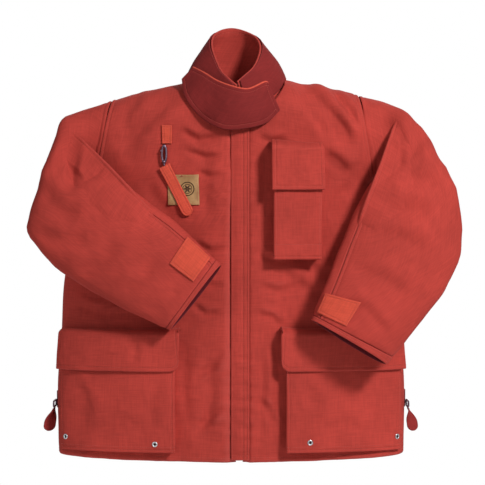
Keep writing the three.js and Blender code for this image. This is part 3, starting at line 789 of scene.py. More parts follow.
RIGHT_FOLDS = [
    ([(-126, 742), (-168, 706), (-214, 660), (-246, 612)], 20, -6.0, 0.5),
    ([(-196, 748), (-226, 700), (-238, 650)], 12, -2.5, 0.4),
    ([(-62, 250), (-58, 150), (-70, 20)], 13, -3.4, 0.4),
    ([(-108, 246), (-112, 160), (-104, 60)], 10, -1.6, 0.3),
    ([(-360, 372), (-290, 330), (-200, 318)], 12, -3.0, 0.5),
    ([(-352, 318), (-270, 296), (-180, 292)], 9, -2.6, 0.5),
    ([(-230, 300), (-150, 336), (-96, 330)], 10, -2.2, 0.4),
    ([(-66, 640), (-76, 560), (-64, 470)], 16, -2.4, 0.4),
    ([(-128, 664), (-84, 640), (-34, 646)], 8, -3.4, 0.5),
    ([(-118, 622), (-70, 606), (-30, 610)], 7, -2.8, 0.5),
    ([(-96, 580), (-60, 568), (-26, 574)], 7, -2.4, 0.5),
    ([(-96, 440), (-60, 420), (-26, 428)], 7, -2.6, 0.5),
    ([(-140, 372), (-90, 350), (-26, 356)], 8, -3.2, 0.5),
    ([(-100, 318), (-70, 296), (-28, 300)], 7, -3.0, 0.5),
    ([(-30, 240), (-52, 196), (-96, 170)], 8, -3.2, 0.5),
    ([(-26, 120), (-60, 96), (-92, 60)], 8, -3.4, 0.5),
    ([(-290, 300), (-250, 320), (-200, 312)], 7, -2.8, 0.5),
    ([(-196, 560), (-150, 500), (-120, 470)], 13, -2.4, 0.4),
]
LEFT_FOLDS = [
    ([(98, 756), (126, 744), (158, 708), (194, 666), (226, 620)], 15, -8.5, 0.6),
    ([(158, 616), (190, 596), (216, 570)], 12, -4.5, 0.5),
    ([(112, 740), (150, 690), (176, 640)], 9, -4.4, 0.6),
    ([(176, 742), (214, 704), (238, 656)], 8, -4.0, 0.6),
    ([(24, 650), (60, 636), (98, 642)], 8, -3.0, 0.5),
    ([(24, 420), (60, 404), (96, 396)], 7, -2.6, 0.5),
    ([(24, 356), (70, 342), (130, 352)], 8, -3.0, 0.5),
    ([(24, 300), (60, 290), (84, 268)], 7, -2.8, 0.5),
    ([(26, 130), (52, 110), (66, 70)], 8, -3.2, 0.5),
    ([(40, 640), (46, 560), (38, 470)], 14, -2.4, 0.4),
    ([(38, 250), (42, 150), (34, 20)], 9, -3.0, 0.4),
    ([(70, 250), (76, 170), (70, 60)], 9, -1.5, 0.3),
    ([(60, 390), (120, 350), (196, 320)], 13, -2.8, 0.4),
    ([(120, 400), (150, 380), (200, 372)], 10, -2.2, 0.4),
    ([(176, 480), (196, 530), (226, 560)], 12, -3.0, 0.4),
]


FLY_HINGE_X, FLY_EDGE_X, FLY_TOP_Z, ZIP_X = -20, 17, 666, -3


def beside_fly(x):
    """The fronts swell towards the fly, so that it lies level with them."""
    right = 12.0 * smooth((x + 150) / 125) * smooth((FLY_HINGE_X + 6 - x) / 7)
    left = 9.5 * smooth((150 - x) / 130) * smooth((x - FLY_EDGE_X + 9) / 7)
    return right + left


def broad_lift(p):
    """The broad swells of the coat's front, in mm out of its surface."""
    return 4.0 * rumple(p, 120, 1) + beside_fly(p[..., 0])


LINING_ROOM = 6.2  # a fold may sink this far before it would meet the lining


def front_lift(p):
    """Rumples and folds of the coat's front, in mm out of its surface."""
    q = xz(p)
    move = 2.0 * rumple(p, 55, 4) + 0.6 * rumple(p, 24, 8)
    move += 2.0 * rumple(p, 36, 12, (1, 1, 1.5)) * smooth((430 - p[..., 2]) / 120)
    for line, width, height, lean in RIGHT_FOLDS + LEFT_FOLDS:
        move += 1.7 * fold(q, line, width, height, lean)
    clear = np.minimum(np.abs(p[..., 0] - FLY_EDGE_X), np.abs(p[..., 0] - FLY_HINGE_X))
    total = move * (0.3 + 0.7 * smooth(clear / 40)) + broad_lift(p)
    return np.where(total < 0, LINING_ROOM * np.tanh(total / LINING_ROOM), total)


def clear_of_sides(p):
    """1 over the front, falling to 0 at the side seams."""
    return smooth((through(HALF_WIDTH, p[..., 2]) - np.abs(p[..., 0] - BODY_CENTRE_X)) / 60)


def front_skin(x, z):
    """The rumpled front: what tabs and badge are sewn to."""
    p = front_xz(x, z)
    p[..., 1] -= front_lift(p) * clear_of_sides(p) * smooth((p[..., 2] - 4) / 14)
    return p


def pocket_swell(p):
    """How far a pocket wall moves with the broad swells of the front behind it."""
    return broad_lift(p) * clear_of_sides(p) * smooth((p[..., 2] - 4) / 14)


def front_shape(side):
    def shape(p, edges):
        x, z = p[..., 0], p[..., 2]
        move = front_lift(p) * clear_of_sides(p)
        beside = np.abs(x - (FLY_EDGE_X if side > 0 else FLY_HINGE_X))
        pucker = np.sin(2 * np.pi * z / 27 + 2.2 * noise(p / 40) + x * 0.02)
        move += 1.2 * pucker * np.exp(-beside / 24) * (0.4 + 0.6 * smooth((300 - z) / 200))
        move *= smooth(np.minimum(edges[0], edges[1]) / 16)
        move *= smooth(edges[3] / 12)
        move += hem_wave(p) * smooth(np.minimum(edges[0], edges[1]) / 30)
        outer = edges[1] if side > 0 else edges[0]
        armhole = smooth((z - PIT_Z) / 30)
        move += armhole * seam_ridge(outer)
        move -= 0.9 * crest(edges[2], 9.5, 1.6)
        return move
    return shape


for side, word, centre in ((-1, "right", ZIP_X - 6), (1, "left", ZIP_X + 6)):
    cloth(f"front_{word}", front_panel(side, centre), 190, 250, shape=front_shape(side))
    armhole_edge = "u1" if side > 0 else "u0"
    sew(f"front_{word}", [armhole_edge], [3.2, 9.0], lo=0.62, hi=0.99)
    stitch(along_edge(f"front_{word}", "v0", 9.5))


def back_shape(p, edges):
    move = 3.0 * rumple(p, 120, 21, (1, 1, 0.55)) + 1.0 * rumple(p, 52, 23) + 0.3 * rumple(p, 20, 25)
    z = p[..., 2]
    for line, width, height in (([(-230, 600), (-150, 520), (-60, 470)], 22, -5),
                                ([(220, 600), (140, 520), (70, 450)], 22, -5),
                                ([(-120, 480), (-130, 260), (-110, 40)], 26, -4),
                                ([(110, 430), (124, 240), (104, 40)], 26, -4),
                                ([(-10, 560), (0, 300), (-14, 60)], 24, -3),
                                ([(-300, 360), (-220, 330), (-140, 350)], 16, -3),
                                ([(290, 330), (220, 300), (130, 330)], 16, -3)):
        move += fold(xz(p), line, width, height, 0.5)
    sides = np.minimum(edges[0], edges[1])
    move *= smooth(sides / 16)
    move *= smooth(edges[3] / 12) * smooth((edges[2] + 14 * (z < 200)) / 12)
    move += hem_wave(p) * smooth(sides / 30) * (z < 300)
    return move + smooth((z - PIT_Z) / 30) * seam_ridge(sides)


YOKE_RISE = 0.8
cloth("back_panel", back_panel(0, YOKE_RISE - 0.0006), 230, 205,
      shape=lambda p, e: back_shape(p, e) - 0.9 * crest(e[2], 9.5, 1.6) + seam_ridge(e[3], 0.8, 0.6))
cloth("back_yoke", back_panel(YOKE_RISE + 0.0006, 1), 240, 90,
      shape=lambda p, e: back_shape(p, e) + seam_ridge(e[2], 0.8, 0.9))
stitch(along_edge("back_panel", "v0", 9.5))
for inset in (3.0, 8.5):
    stitch(along_edge("back_yoke", "v0", inset))
    for edge in ("u0", "u1"):
        stitch(along_edge("back_yoke", edge, inset))
        stitch(along_edge("back_panel", edge, inset, 0.78, 1))


def quilting(p, edges):
    across = (p[..., 0] + p[..., 2]) / 62
    down = (p[..., 0] - p[..., 2]) / 62
    swell = np.abs(np.sin(np.pi * across) * np.sin(np.pi * down)) ** 0.5
    return 2.2 * (swell - 0.7)


LININGS = {
    "liner_front_right": (front_panel(-1, ZIP_X - 6), (0.2, 0.94, 0.03, 0.86)),
    "liner_front_left": (front_panel(1, ZIP_X + 6), (0.06, 0.8, 0.03, 0.86)),
    "liner_back": (back_panel(0, 1), (0.14, 0.86, 0.03, 0.95)),
}
for name, (surface, (u0, u1, v0, v1)) in LININGS.items():
    cloth(name, lambda u, v, f=surface: f(mix(u0, u1, u), mix(v0, v1, v)), 110, 130, "lining",
          thick=3, off=-10, shape=quilting)

# ---- sleeves ----
SEAM_OUTER, SEAM_INNER, SLEEVE_END = -0.3, math.pi - 0.6, 0.972


def sleeve_shape(side, top):
    def shape(p, edges):
        move = 4.2 * rumple(p, 120, 31 + side + top) + 2.0 * rumple(p, 55, 35 + side)
        move = move + 0.5 * rumple(p, 24, 39)
        q = xz(p)
        for line, width, height in (RIGHT_SLEEVE_FOLDS if side < 0 else LEFT_SLEEVE_FOLDS):
            move += 1.5 * fold(q, line, width, height, 0.5)
        along = np.minimum(edges[0], edges[1])
        move *= smooth(along / 18) * smooth(edges[3] / 14) * smooth(edges[2] / 12)
        inner = edges[1] if side * (1 if top else -1) > 0 else edges[0]
        move += seam_ridge(inner, 1.2, 0.9, 8.0) if top else 0
        return move + seam_ridge(edges[2], 0.9, 0.7)
    return shape


RIGHT_SLEEVE_FOLDS = [
    ([(-330, 650), (-350, 610), (-372, 560)], 20, -2.4),
    ([(-300, 590), (-330, 560), (-344, 520)], 16, -2.0),
    ([(-400, 560), (-350, 500), (-300, 480)], 18, -4.0),
    ([(-410, 460), (-350, 440), (-290, 450)], 16, -3.5),
    ([(-330, 370), (-270, 400), (-230, 450)], 16, -3.0),
    ([(-240, 330), (-190, 370), (-150, 420)], 14, -2.4),
]
LEFT_SLEEVE_FOLDS = [
    ([(282, 700), (300, 650), (290, 590)], 18, -4.5),
    ([(330, 690), (350, 640), (330, 590)], 14, -3.0),
    ([(300, 570), (350, 560), (400, 560)], 16, -4.5),
    ([(262, 520), (320, 500), (380, 500)], 18, -3.5),
    ([(240, 450), (300, 450), (370, 420)], 18, -3.5),
    ([(210, 390), (270, 370), (330, 330)], 16, -3.0),
    ([(190, 330), (240, 310), (290, 250)], 12, -2.4),
]
for side, word in ((-1, "right"), (1, "left")):
    top = sleeve_patch(side, 0.0, SLEEVE_END, SEAM_OUTER + 0.004, SEAM_INNER - 0.004)
    under = sleeve_patch(side, 0.0, SLEEVE_END, SEAM_INNER + 0.004, 2 * math.pi + SEAM_OUTER - 0.004)
    cloth(f"sleeve_top_{word}", top, 150, 300, shape=sleeve_shape(side, True))
    cloth(f"sleeve_under_{word}", under, 150, 300, shape=sleeve_shape(side, False))
    seam_edge = "u1" if side > 0 else "u0"
    sew(f"sleeve_top_{word}", [seam_edge], [2.6, 8.0])
    skyline = front_of([f"sleeve_top_{word}", f"sleeve_under_{word}"])
    cloth(f"sleeve_fold_{word}", forearm_sheet(side, skyline), 150, 80, thick=3.2, roll=2.4, replaces=(),
          shape=lambda p, e: (1.6 * rumple(p, 70, 41) + 0.5 * rumple(p, 26, 43)) * smooth(e[2] / 14)
          + seam_ridge(e[2], 0.9, 0.9))
    sew(f"sleeve_fold_{word}", ["v0"], [3.2, 9.0], lo=0.12, hi=0.84)

    def band(u, v, side=side):
        phi = 2 * np.pi * (u if side > 0 else 1 - u)
        front = (1 + np.sin(phi)) / 2
        return sleeve_point(side, mix(SLEEVE_END + 0.0006, 1.0 - 0.012 * front, v), phi)

    # the inner faces take the near-black mouth colour: painted shade inside the sleeve opening
    cloth(f"cuff_band_{word}", band, 200, 14, closed=True, inside="mouth",
          shape=lambda p, e: 0.7 - 0.6 * crest(e[2], 4, 1.5) + 0.8 * noise(p / 30))
    stitch(along_edge(f"cuff_band_{word}", "v0", 4.0))
    stitch(along_edge(f"cuff_band_{word}", "v1", 5.0))
    knit = sleeve_patch(side, 0.9, 0.985, 0, 2 * math.pi)
    cloth(f"wristlet_{word}", knit, 480, 30, "knit", thick=3, off=-10, closed=True,
          shape=lambda p, e: 0.8 * np.sin(np.arange(480) * 2 * np.pi / 6)[:, None] + 0 * e[2], roll=1.2)

# ---- collar and throat flap ----
def collar_shape(p, edges):
    move = 2.2 * rumple(p, 60, 51) + 0.8 * rumple(p, 26, 53)
    move *= smooth(edges[3] / 14) * smooth(edges[2] / 10)
    return move - 0.8 * crest(edges[3], 8, 1.6)


COLLAR_DOWN, COLLAR_UP = -0.14, 1.07
cloth("collar_outer", lambda u, v: collar_point(u, mix(COLLAR_DOWN, COLLAR_UP, v)), 260, 70, off=4,
      shape=collar_shape)
# inside of the collar in the darkened shell colour: painted shade
cloth("collar_inner", lambda u, v: collar_point(mix(0.015, 0.985, u), mix(0.02, COLLAR_UP - 0.02, v)),
      220, 50, "throat", thick=3, off=-1.4,
      shape=lambda p, e: 0.6 * rumple(p, 50, 55) * smooth(e[3] / 8))
stitch(along_edge("collar_outer", "v1", 8.0))
stitch(along_edge("collar_outer", "v0", 4.0))
rim = along_edge("collar_outer", "v1", 1.2)
tube("collar_piping", polyline_at(rim[:, :3] - rim[:, 3:] * 2.2, step=3), 2.3, "shell")

# throat flap in the darkened shell colour: painted shade
cloth("throat_flap", throat_point, 170, 70, "throat", "throat_flap", off=4,
      shape=lambda p, e: (1.6 * rumple(p, 55, 61) + 0.5 * rumple(p, 24, 63))
      * smooth(np.minimum.reduce(e) / 12) - 0.8 * crest(np.minimum.reduce(e), 9, 1.5))
sew("throat_flap", ["v0", "v1", "u1"], [9.0], "throat_flap", 0.04, 0.96)
# the piping takes the lighter tab colour: a painted highlight along the throat flap's top edge
lip = along_edge("throat_flap", "v1", 1.2)
tube("throat_flap_piping", polyline_at(lip[:, :3] - lip[:, 3:] * 1.8, step=3), 2.2, "tab", "throat_flap")

# ---- fly and zip ----
def strip(x0, x1, z0, z1, surface=front_xz):
    return lambda u, v: surface(mix(x0, x1, u), mix(z0, z1, v))


def fly_shape(p, edges):
    z = p[..., 2]
    low = smooth((330 - z) / 200)
    wave = np.sin(2 * np.pi * z / 27 + 2.2 * noise(p / 40))
    move = 1.1 * wave * low * smooth(edges[0] / 16) + 0.8 * rumple(p, 60, 71) + 0.3 * rumple(p, 22, 73)
    move += 0.9 * rumple(p, 36, 12, (1, 1, 1.5)) * smooth((430 - z) / 120)
    move -= 1.1 * crest(edges[1], 13, 1.7)
    return move + seam_ridge(edges[1], 0.3, 0.9, 5.0)


cloth("storm_fly", strip(FLY_HINGE_X, FLY_EDGE_X, 9, FLY_TOP_Z), 50, 420, body="storm_fly",
      off=lambda u, v: 12.2 + 1.8 * smooth(u / 0.4), shape=fly_shape, thick=3.4)
for edge, inset in (("u0", 3.0), ("u1", 13.0), ("u1", 4.0), ("v0", 9.0)):
    stitch(along_edge("storm_fly", edge, inset), "storm_fly")
for word, x0, x1 in (("right", ZIP_X - 14, ZIP_X - 0.6), ("left", ZIP_X + 0.6, ZIP_X + 14)):
    cloth(f"zip_tape_{word}", strip(x0, x1, 16, 640), 8, 160, "tape", thick=1.2, off=1.8, roll=0.4)


def zip_teeth(bm):
    z = 18.0
    side = 1
    while z < 622:
        at = front_xz(np.array(ZIP_X + side * 1.1), np.array(z))
        box(bm, (at[0], at[1] - 1.9, at[2]), (4.6, 2.2, 1.5))
        side = -side
        z += 1.9


solid("zip_teeth", zip_teeth, "dark_metal", "coat")


def zip_slider(bm):
    at = front_xz(np.array(ZIP_X * 1.0), np.array(632.0))
    centre = Vector((at[0], at[1] - 5, at[2]))
    for dx, dz, w, d, h in ((0, 0, 9, 3.4, 9), (0, -1, 5, 1.2, 13)):
        box(bm, centre + Vector((dx, -1.0 if h > 10 else 0, dz)), (w, d, h))
    bmesh.ops.bevel(bm, geom=bm.edges[:], offset=0.5, segments=2, affect="EDGES")


solid("zip_slider_body", zip_slider, "metal", "zip_slider", ["zip_slider"])

# ---- pockets: a front wall, a gusset round three sides, and a flap over the mouth ----
LOWER = {"top": 247, "bottom": 24, "width": 232, "depth": 24, "outer": 9, "near": 0.31, "far": 0.955}
LOWER_FLAP = {"top": 268, "bottom": 184, "width": 236, "near": {-1: 0.29, 1: 0.285}, "far": 0.968}
RADIO = {"left": 64, "right": 156, "top": 614, "bottom": 404, "depth": 33}
FLAP_ROOM = 2.4


def fine_edges(count, width, reach=14.0, share=0.16):
    """Shares 0..1 of a length `width` mm, closer together near both ends."""
    t = np.linspace(0, 1, count)
    k = reach / width
    return np.interp(t, [0, share, 1 - share, 1], [0, k, 1 - k, 1])


def pocket(name, base, width, height, lift, shape):
    cloth(f"{name}_front", base, 0, 0, off=lift, thick=3, roll=3.0,
          shape=lambda p, e: shape(p, e) + pocket_swell(p),
          us=fine_edges(120, width), vs=fine_edges(110, height))
    corner = 9.0 / (2 * height + width)

    def track(t):
        run = np.clip(t, 0, 1) * (2 * height + width)
        down = run < height
        across = (run >= height) & (run < height + width)
        u = np.where(down, 0, np.where(across, (run - height) / width, 1))
        v = np.where(down, 1 - run / height, np.where(across, 0, (run - height - width) / height))
        return u, v

    def gusset(u, v):
        a, b, c = track(v - corner), track(v + corner), track(v)
        pu, pv = (a[0] + b[0] + 2 * c[0]) / 4, (a[1] + b[1] + 2 * c[1]) / 4
        inset = 1.6
        pu = inset / width + pu * (1 - 2 * inset / width)
        pv = inset / height + pv * (1 - inset / height)
        foot = base(pu, pv)
        step = 1e-3
        du = base(pu + step, pv) - base(pu - step, pv)
        dv = base(pu, pv + step) - base(pu, pv - step)
        n = np.cross(du, dv)
        n /= np.linalg.norm(n, axis=-1, keepdims=True)
        sewn = pocket_swell(foot) - 3.5
        return foot + n * mix(sewn, lift(pu, pv) - 1.2 + pocket_swell(foot), 1 - u)[..., None]

    cloth(f"{name}_gusset", gusset, 14, 260, off=1.2, thick=2.4, roll=0.8,
          shape=lambda p, e: 0.9 * rumple(p, 34, 83) * smooth(np.minimum(e[0], e[1]) / 5))


def flap(name, at, low, high, lift, drop, width, shape, room=FLAP_ROOM):
    def off(u, v):
        t = np.clip((1 - v) / 0.17, 0, 1)
        return 4 + mix(2, lift(u, v) + room, np.sin(t * np.pi / 2))
    cloth(name, lambda u, v: at(u, mix(low + drop(u), high, v)), 0, 0, body=name, off=off,
          thick=4, roll=2.6, shape=lambda p, e: shape(p, e) + pocket_swell(p), us=fine_edges(150, width),
          vs=np.linspace(0, 1, 70))


def front_share(c, z):
    return front_xz(c * through(HALF_WIDTH, z) + through(CENTRE_X, z), z)


def share_patch(c0, c1, z0, z1):
    return lambda u, v: front_share(mix(c0, c1, u), mix(z0, z1, v))


def pocket_shape(side, seed):
    """Soft swell, a little slack under the flap and a ripple along the stitched bottom edge."""
    def shape(p, edges):
        inside = np.minimum.reduce(edges[:3])
        move = (2.6 * rumple(p, 78, seed) + 1.2 * rumple(p, 34, seed + 2)) * smooth(inside / 16)
        for line, width, height in POCKET_FOLDS[side]:
            move += fold(xz(p), line, width, height, 0.5) * smooth(inside / 14)
        return move * smooth((242 - p[..., 2]) / 30) - 0.7 * crest(inside, 6, 1.3)
    return shape


POCKET_FOLDS = {
    -1: [([(-330, 180), (-310, 120), (-318, 50)], 14, -2.6),
         ([(-150, 180), (-176, 120), (-170, 60)], 12, -2.0),
         ([(-280, 60), (-230, 90), (-180, 70)], 10, -1.6)],
    1: [([(110, 180), (150, 120), (140, 60)], 13, -2.2), ([(280, 180), (250, 120), (280, 50)], 13, -2.2),
        ([(150, 60), (200, 84), (260, 60)], 10, -1.6)],
}


def flap_shape(seed, crease):
    def shape(p, edges):
        inside = np.minimum.reduce(edges[:3])
        move = (1.9 * rumple(p, 70, seed) + 1.0 * rumple(p, 30, seed + 2)) * smooth(inside / 10)
        move += 1.6 + 1.5 * noise(p / 55 + seed) * smooth((40 - edges[2]) / 40)
        move += fold(xz(p), crease, 10, -2.4, 0.6) if crease else 0
        move *= smooth(edges[3] / 12)
        return move - 0.8 * crest(inside, 8, 1.4) - 0.7 * crest(edges[3], 8, 1.4)
    return shape


for side, word in ((-1, "right"), (1, "left")):
    outer_first = side < 0
    span = (-LOWER["far"], -LOWER["near"]) if outer_first else (LOWER["near"], LOWER["far"])
    ends = (LOWER["outer"], LOWER["depth"]) if outer_first else (LOWER["depth"], LOWER["outer"])

    def lower_lift(u, v, ends=ends):
        return mix(ends[0], ends[1], smooth(u))

    size = (LOWER["width"], LOWER["top"] - LOWER["bottom"])
    pocket(f"pocket_{word}", share_patch(*span, LOWER["bottom"], LOWER["top"]), *size, lower_lift,
           pocket_shape(side, 81 + side))
    for edge, inset in (("u0", 6.0), ("u1", 6.0), ("v0", 6.0), ("v0", 12.0)):
        stitch(along_edge(f"pocket_{word}_front", edge, inset))
    near, far = LOWER_FLAP["near"][side], LOWER_FLAP["far"]
    reach = (-far, -near) if outer_first else (near, far)

    def round_corner(u, outer_first=outer_first):
        t = np.clip((u - 0.925) / 0.075 if outer_first else (0.075 - u) / 0.075, 0, 1)
        return 17 * (1 - np.sqrt(1 - t ** 2 * 0.999))

    flap(f"pocket_flap_{word}", lambda u, z, r=reach: front_share(mix(r[0], r[1], u), z),
         LOWER_FLAP["bottom"], LOWER_FLAP["top"], lower_lift, round_corner, LOWER_FLAP["width"],
         flap_shape(87 + side, [(-214, 262), (-206, 225), (-212, 190)] if outer_first else None))
    for edge, inset in (("u0", 8.0), ("u1", 8.0), ("v0", 8.0), ("v1", 8.0), ("v1", 3.0)):
        stitch(along_edge(f"pocket_flap_{word}", edge, inset), f"pocket_flap_{word}")


def radio_lift(u, v):
    return np.full_like(u, RADIO["depth"])


def radio_shape(p, edges):
    inside = np.minimum.reduce(edges[:3])
    return (2.4 * rumple(p, 60, 91) + 1.0 * rumple(p, 26, 93)) * smooth(inside / 14) \
        * smooth((RADIO["top"] - p[..., 2]) / 60) - 0.8 * crest(edges[2], 30, 1.8) \
        - 0.8 * crest(edges[2], 6, 1.4)


pocket("radio_pocket", strip(RADIO["left"], RADIO["right"], RADIO["bottom"], RADIO["top"]),
       RADIO["right"] - RADIO["left"], RADIO["top"] - RADIO["bottom"], radio_lift, radio_shape)
sew("radio_pocket_front", ["v0"], [6.0, 30.0])
sew("radio_pocket_front", ["u0", "u1"], [5.0], hi=0.7)
flap("radio_flap", lambda u, z: front_xz(mix(RADIO["left"] - 4, RADIO["right"] + 4, u), z), 540,
     RADIO["top"] + 22, radio_lift, lambda u: 0 * u, 100, flap_shape(95, None), room=4)
sew("radio_flap", ALL_ROUND, [7.0], "radio_flap")

# ---- drain eyelets ----
EYELET_OUTER, EYELET_INNER = 5.5, 2.6


def eyelet(name, x, z):
    wall = SURFACES[name.replace("eyelet", "pocket").rsplit("_", 1)[0] + "_front"]
    p, normals = (part.reshape(-1, 3) for part in wall)
    nearest = np.argmin(np.hypot(p[:, 0] - x, p[:, 2] - z))
    n = normals[nearest]
    at = np.array([x, p[nearest, 1], z]) + n * 0.7
    turn = Vector((0, 0, 1)).rotation_difference(Vector(n)).to_matrix().to_4x4()

    def build(bm):
        ring, tubes = 40, 12
        mid, thick = (EYELET_OUTER + EYELET_INNER) / 2, (EYELET_OUTER - EYELET_INNER) / 2
        verts = []
        for i in range(ring):
            a = 2 * math.pi * i / ring
            for j in range(tubes):
                b = 2 * math.pi * j / tubes
                r = mid + thick * math.cos(b)
                verts.append(bm.verts.new((r * math.cos(a), r * math.sin(a), 1.0 * math.sin(b))))
        for i in range(ring):
            here, ahead = i * tubes, (i + 1) % ring * tubes
            for j in range(tubes):
                k = (j + 1) % tubes
                bm.faces.new([verts[here + j], verts[ahead + j], verts[ahead + k], verts[here + k]])
        bmesh.ops.transform(bm, matrix=Matrix.Translation(Vector(at)) @ turn, verts=bm.verts[:])

    solid(f"{name}_ring", build, "metal", "coat", [name])

    # a near-black disk just behind the ring: painted shade in the eyelet's hole
    def hole(bm):
        bmesh.ops.create_circle(bm, cap_ends=True, segments=24, radius=EYELET_INNER + 0.3)
        bmesh.ops.transform(bm, matrix=Matrix.Translation(Vector(at - n * 0.35)) @ turn, verts=bm.verts[:])
        bmesh.ops.solidify(bm, geom=bm.faces[:], thickness=0.3)

    solid(f"{name}_shadow", hole, "hole", "coat")


EYELETS = {"right_outer": (-350, 51), "right_inner": (-169, 42),
           "left_inner": (136, 45), "left_outer": (312, 51)}
for place, (x, z) in EYELETS.items():
    eyelet(f"eyelet_{place}", x, z)

# ---- cuff tabs ----
CUFF_TABS = ((-1, "right", 0.86, 0.955, 1.75, 2.7), (1, "left", 0.87, 0.955, 1.75, 2.75))
for side, word, s0, s1, p0, p1 in CUFF_TABS:
    name = f"cuff_tab_{word}"
    cloth(name, sleeve_patch(side, s0, s1, p0, p1), 90, 60, "tab", name, thick=3, off=4.4, roll=2.0,
          shape=lambda p, e: 0.9 * rumple(p, 40, 97) - 0.7 * crest(np.minimum.reduce(e), 5, 1.3))
    sew(name, ALL_ROUND, [5.0], name)

# ---- chest: badge, anchor tab, hook and light strap ----
BADGE_LIFT = 3.8
cloth("badge", lambda u, v: front_skin(mix(-146, -84, u) + 2 * (1 - v), mix(512, 572, v)), 70, 70, "leather",
      thick=2.4, off=BADGE_LIFT, roll=1.4)
sew("badge", ALL_ROUND, [3.5])


def badge_emblem(bm):
    """A plain ring round a six-petalled rosette."""
    centre = Vector((-106, 0, 544))
    for radius, width in ((14.0, 1.7), (9.6, 1.0)):
        inner, outer = ([bm.verts.new(centre + Vector((math.cos(a) * r, 0, math.sin(a) * r)))
                         for a in np.linspace(0, 2 * math.pi, 48, endpoint=False)]
                        for r in (radius - width, radius))
        for i in range(48):
            j = (i + 1) % 48
            bm.faces.new([inner[i], inner[j], outer[j], outer[i]])
    for k in range(6):
        a = k * math.pi / 3
        petal = []
        for t in np.linspace(0, 2 * math.pi, 20, endpoint=False):
            along, across = 4.3 + 3.6 * math.cos(t), 1.6 * math.sin(t)
            petal.append(bm.verts.new(centre + Vector((math.cos(a) * along - math.sin(a) * across, 0,
                                                       math.sin(a) * along + math.cos(a) * across))))
        bm.faces.new(petal)
    for vert in bm.verts:
        vert.co.y = float(front_skin(np.array(vert.co.x), np.array(vert.co.z))[1]) - BADGE_LIFT * 1.03 - 0.25
    bmesh.ops.solidify(bm, geom=bm.faces[:], thickness=0.7)


solid("badge_emblem", badge_emblem, "emboss", "coat")
cloth("anchor_tab", strip(-157, -137, 634, 670, front_skin), 40, 60, "tab", thick=3, off=3.8, roll=1.6,
      shape=lambda p, e: 0.5 * rumple(p, 30, 99) - 0.6 * crest(np.minimum.reduce(e), 4, 1.2))
sew("anchor_tab", ALL_ROUND, [4.0])

HOOK_AT = front_skin(np.array(-152.0), np.array(613.0)) + np.array([0, -6.2, 0])
turns = np.linspace(0, 2 * np.pi, 56, endpoint=False)
ring_line = HOOK_AT + np.stack([4.4 * np.cos(turns), 0.5 * np.cos(turns), 17 * np.sin(turns)], -1)
hook = tube("snap_hook_ring", ring_line, 2.3, "dark_metal", "light_strap", closed=True)
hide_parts("snap_hook")


def hook_fittings(bm):
    """Swivel barrel, gate and thumb knob of the hook."""
    for dz, radius, depth in ((-15.5, 3.4, 6.5), (-20.5, 2.2, 5.0), (15.5, 2.8, 4.0)):
        place = Matrix.Translation(Vector(HOOK_AT) + Vector((0, 0, dz)))
        bmesh.ops.create_cone(bm, cap_ends=True, segments=24, radius1=radius, radius2=radius * 0.9,
                              depth=depth, matrix=place)
    gate = Matrix.Translation(Vector(HOOK_AT) + Vector((-4.2, 0, 2))) @ Matrix.Rotation(0.12, 4, "Y")
    bmesh.ops.create_cone(bm, cap_ends=True, segments=16, radius1=1.1, radius2=1.1, depth=22, matrix=gate)
    bmesh.ops.create_uvsphere(bm, u_segments=16, v_segments=10, radius=2.0,
                              matrix=Matrix.Translation(Vector(HOOK_AT) + Vector((-6.0, -1.0, 6))))


solid("snap_hook_fittings", hook_fittings, "dark_metal", "light_strap")


def strap_path(u, v):
    x, z = mix(-101, -152, v), mix(492, 590, v)
    half = 11.5 * np.minimum(1, np.sqrt(1 - np.clip((0.1 - v) / 0.1, 0, 0.97) ** 2))
    return front_skin(x + (u - 0.5) * 2 * half * 0.87, z + (u - 0.5) * 2 * half * 0.48)


cloth("light_strap", strap_path, 44, 130, "tab", "light_strap", thick=3, off=7.6, roll=1.8,
      shape=lambda p, e: 0.5 * rumple(p, 34, 101) - 0.6 * crest(np.minimum(e[0], e[1]), 4, 1.2))
sew("light_strap", ["u0", "u1"], [4.0], "light_strap", 0.1, 1)

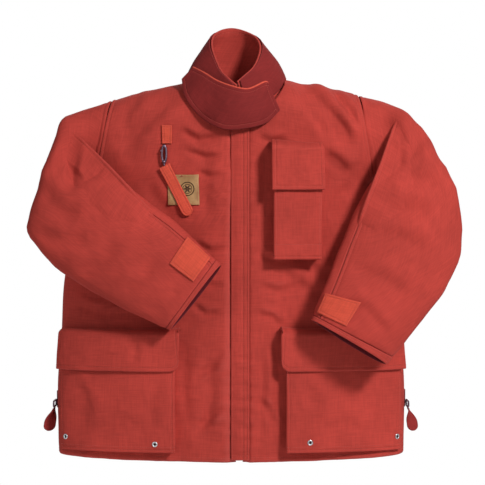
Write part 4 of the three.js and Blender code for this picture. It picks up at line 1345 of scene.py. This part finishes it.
# ---- side take-up straps ----
TAKE_UP = {"width": 38, "z": 112, "tail": 48}
for side, word in ((-1, "right"), (1, "left")):
    def takeup_base(u, v, side=side):
        turn = mix(0.5, 0.004, u if side > 0 else 1 - u)
        level = TAKE_UP["z"] + 4 + (v - 0.5) * TAKE_UP["width"]
        return body_point(1, turn if side > 0 else np.pi - turn, level / TOP_LEVEL, NECK_BACK_DROP)

    cloth(f"takeup_base_{word}", lambda u, v: takeup_base(1 - u, v), 70, 40, "webbing", thick=3, off=3.8,
          roll=1.2)
    x = side * 351 - 20
    buckle_at = np.array([x + side * 6.6, -16.0, TAKE_UP["z"]])
    frame_line = np.stack([0 * turns, 20.5 * np.sign(np.cos(turns)) * np.abs(np.cos(turns)) ** 0.4,
                           6.2 * np.sign(np.sin(turns)) * np.abs(np.sin(turns)) ** 0.5], -1)
    buckle = tube(f"takeup_buckle_{word}_frame", buckle_at + frame_line, 1.9, "dark_metal",
                  closed=True)
    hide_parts(f"takeup_buckle_{word}")
    tail_top = np.array([x + side * 8, -16.0, TAKE_UP["z"] - 9])
    lean = math.sin(0.2) * side

    def tail(u, v):
        drop = TAKE_UP["tail"] * (1 - v)
        rounded = np.sqrt(1 - np.clip((0.24 - v) / 0.24, 0, 0.97) ** 2)
        across = (u - 0.5) * TAKE_UP["width"] * 0.66 * rounded
        curl = 1.6 * np.sin(np.pi * v)
        twist = 1.15 * smooth(drop / 30)
        return np.stack([tail_top[0] + lean * drop + side * (curl + 1.5 + across * np.sin(twist)),
                         tail_top[1] + side * across * np.cos(twist), tail_top[2] - drop * 0.98], -1)

    name = f"takeup_tail_{word}"
    cloth(name, tail, 30, 60, "lining", name, thick=3, roll=1.3)

# ---- hanging loop ----
LOOP_WIDE, LOOP_GAP, LOOP_BAND, LOOP_THICK = 62.0, 12.0, 8.0, 2.4


def hanger(bm):
    """Webbing sewn down at both ends, with the hanging band across the top."""
    for x, z, w, h in ((0, LOOP_BAND / 2, LOOP_WIDE, LOOP_BAND),
                       (0, -LOOP_GAP - LOOP_BAND / 2, LOOP_WIDE, LOOP_BAND),
                       (-27, -LOOP_GAP / 2, 8, LOOP_GAP + 1), (27, -LOOP_GAP / 2, 8, LOOP_GAP + 1)):
        box(bm, Vector(LOOP) + Vector((x, 0, z)), (w, LOOP_THICK, h))
    bmesh.ops.bevel(bm, geom=bm.edges[:], offset=0.6, segments=3, affect="EDGES")


solid("hanger_loop_webbing", hanger, "loop", "coat", ["hanger_loop"])


finish_stitches()
for body, ((x0, z0), (x1, z1)) in SEWN_HINGES.items():
    depth = front_xz(np.array([float(x0), float(x1)]), np.array([float(z0), float(z1)]))[0, 1]
    ends = to_row([[x0, depth, z0], [x1, depth, z1]]).tolist()
    for piece in (f"{body}_cloth", f"stitching_{body}"):
        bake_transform(bpy.data.objects[piece])

# ---- floor: a pale round plate, well below the hanging coat ----
FLOOR_Z, FLOOR_RADIUS = -1.15, 1.7
floor_mesh = bpy.data.meshes.new("floor")
rim_angles = np.linspace(0, 2 * np.pi, 96, endpoint=False)
floor_rim = [(FLOOR_RADIUS * math.cos(a), FLOOR_RADIUS * math.sin(a), FLOOR_Z) for a in rim_angles]
floor_mesh.from_pydata(floor_rim, [], [list(range(96))])
floor_mesh.materials.append(Graph("pale_floor", (0.93, 0.93, 0.93), 0.9).material)
new_object("floor", floor_mesh)
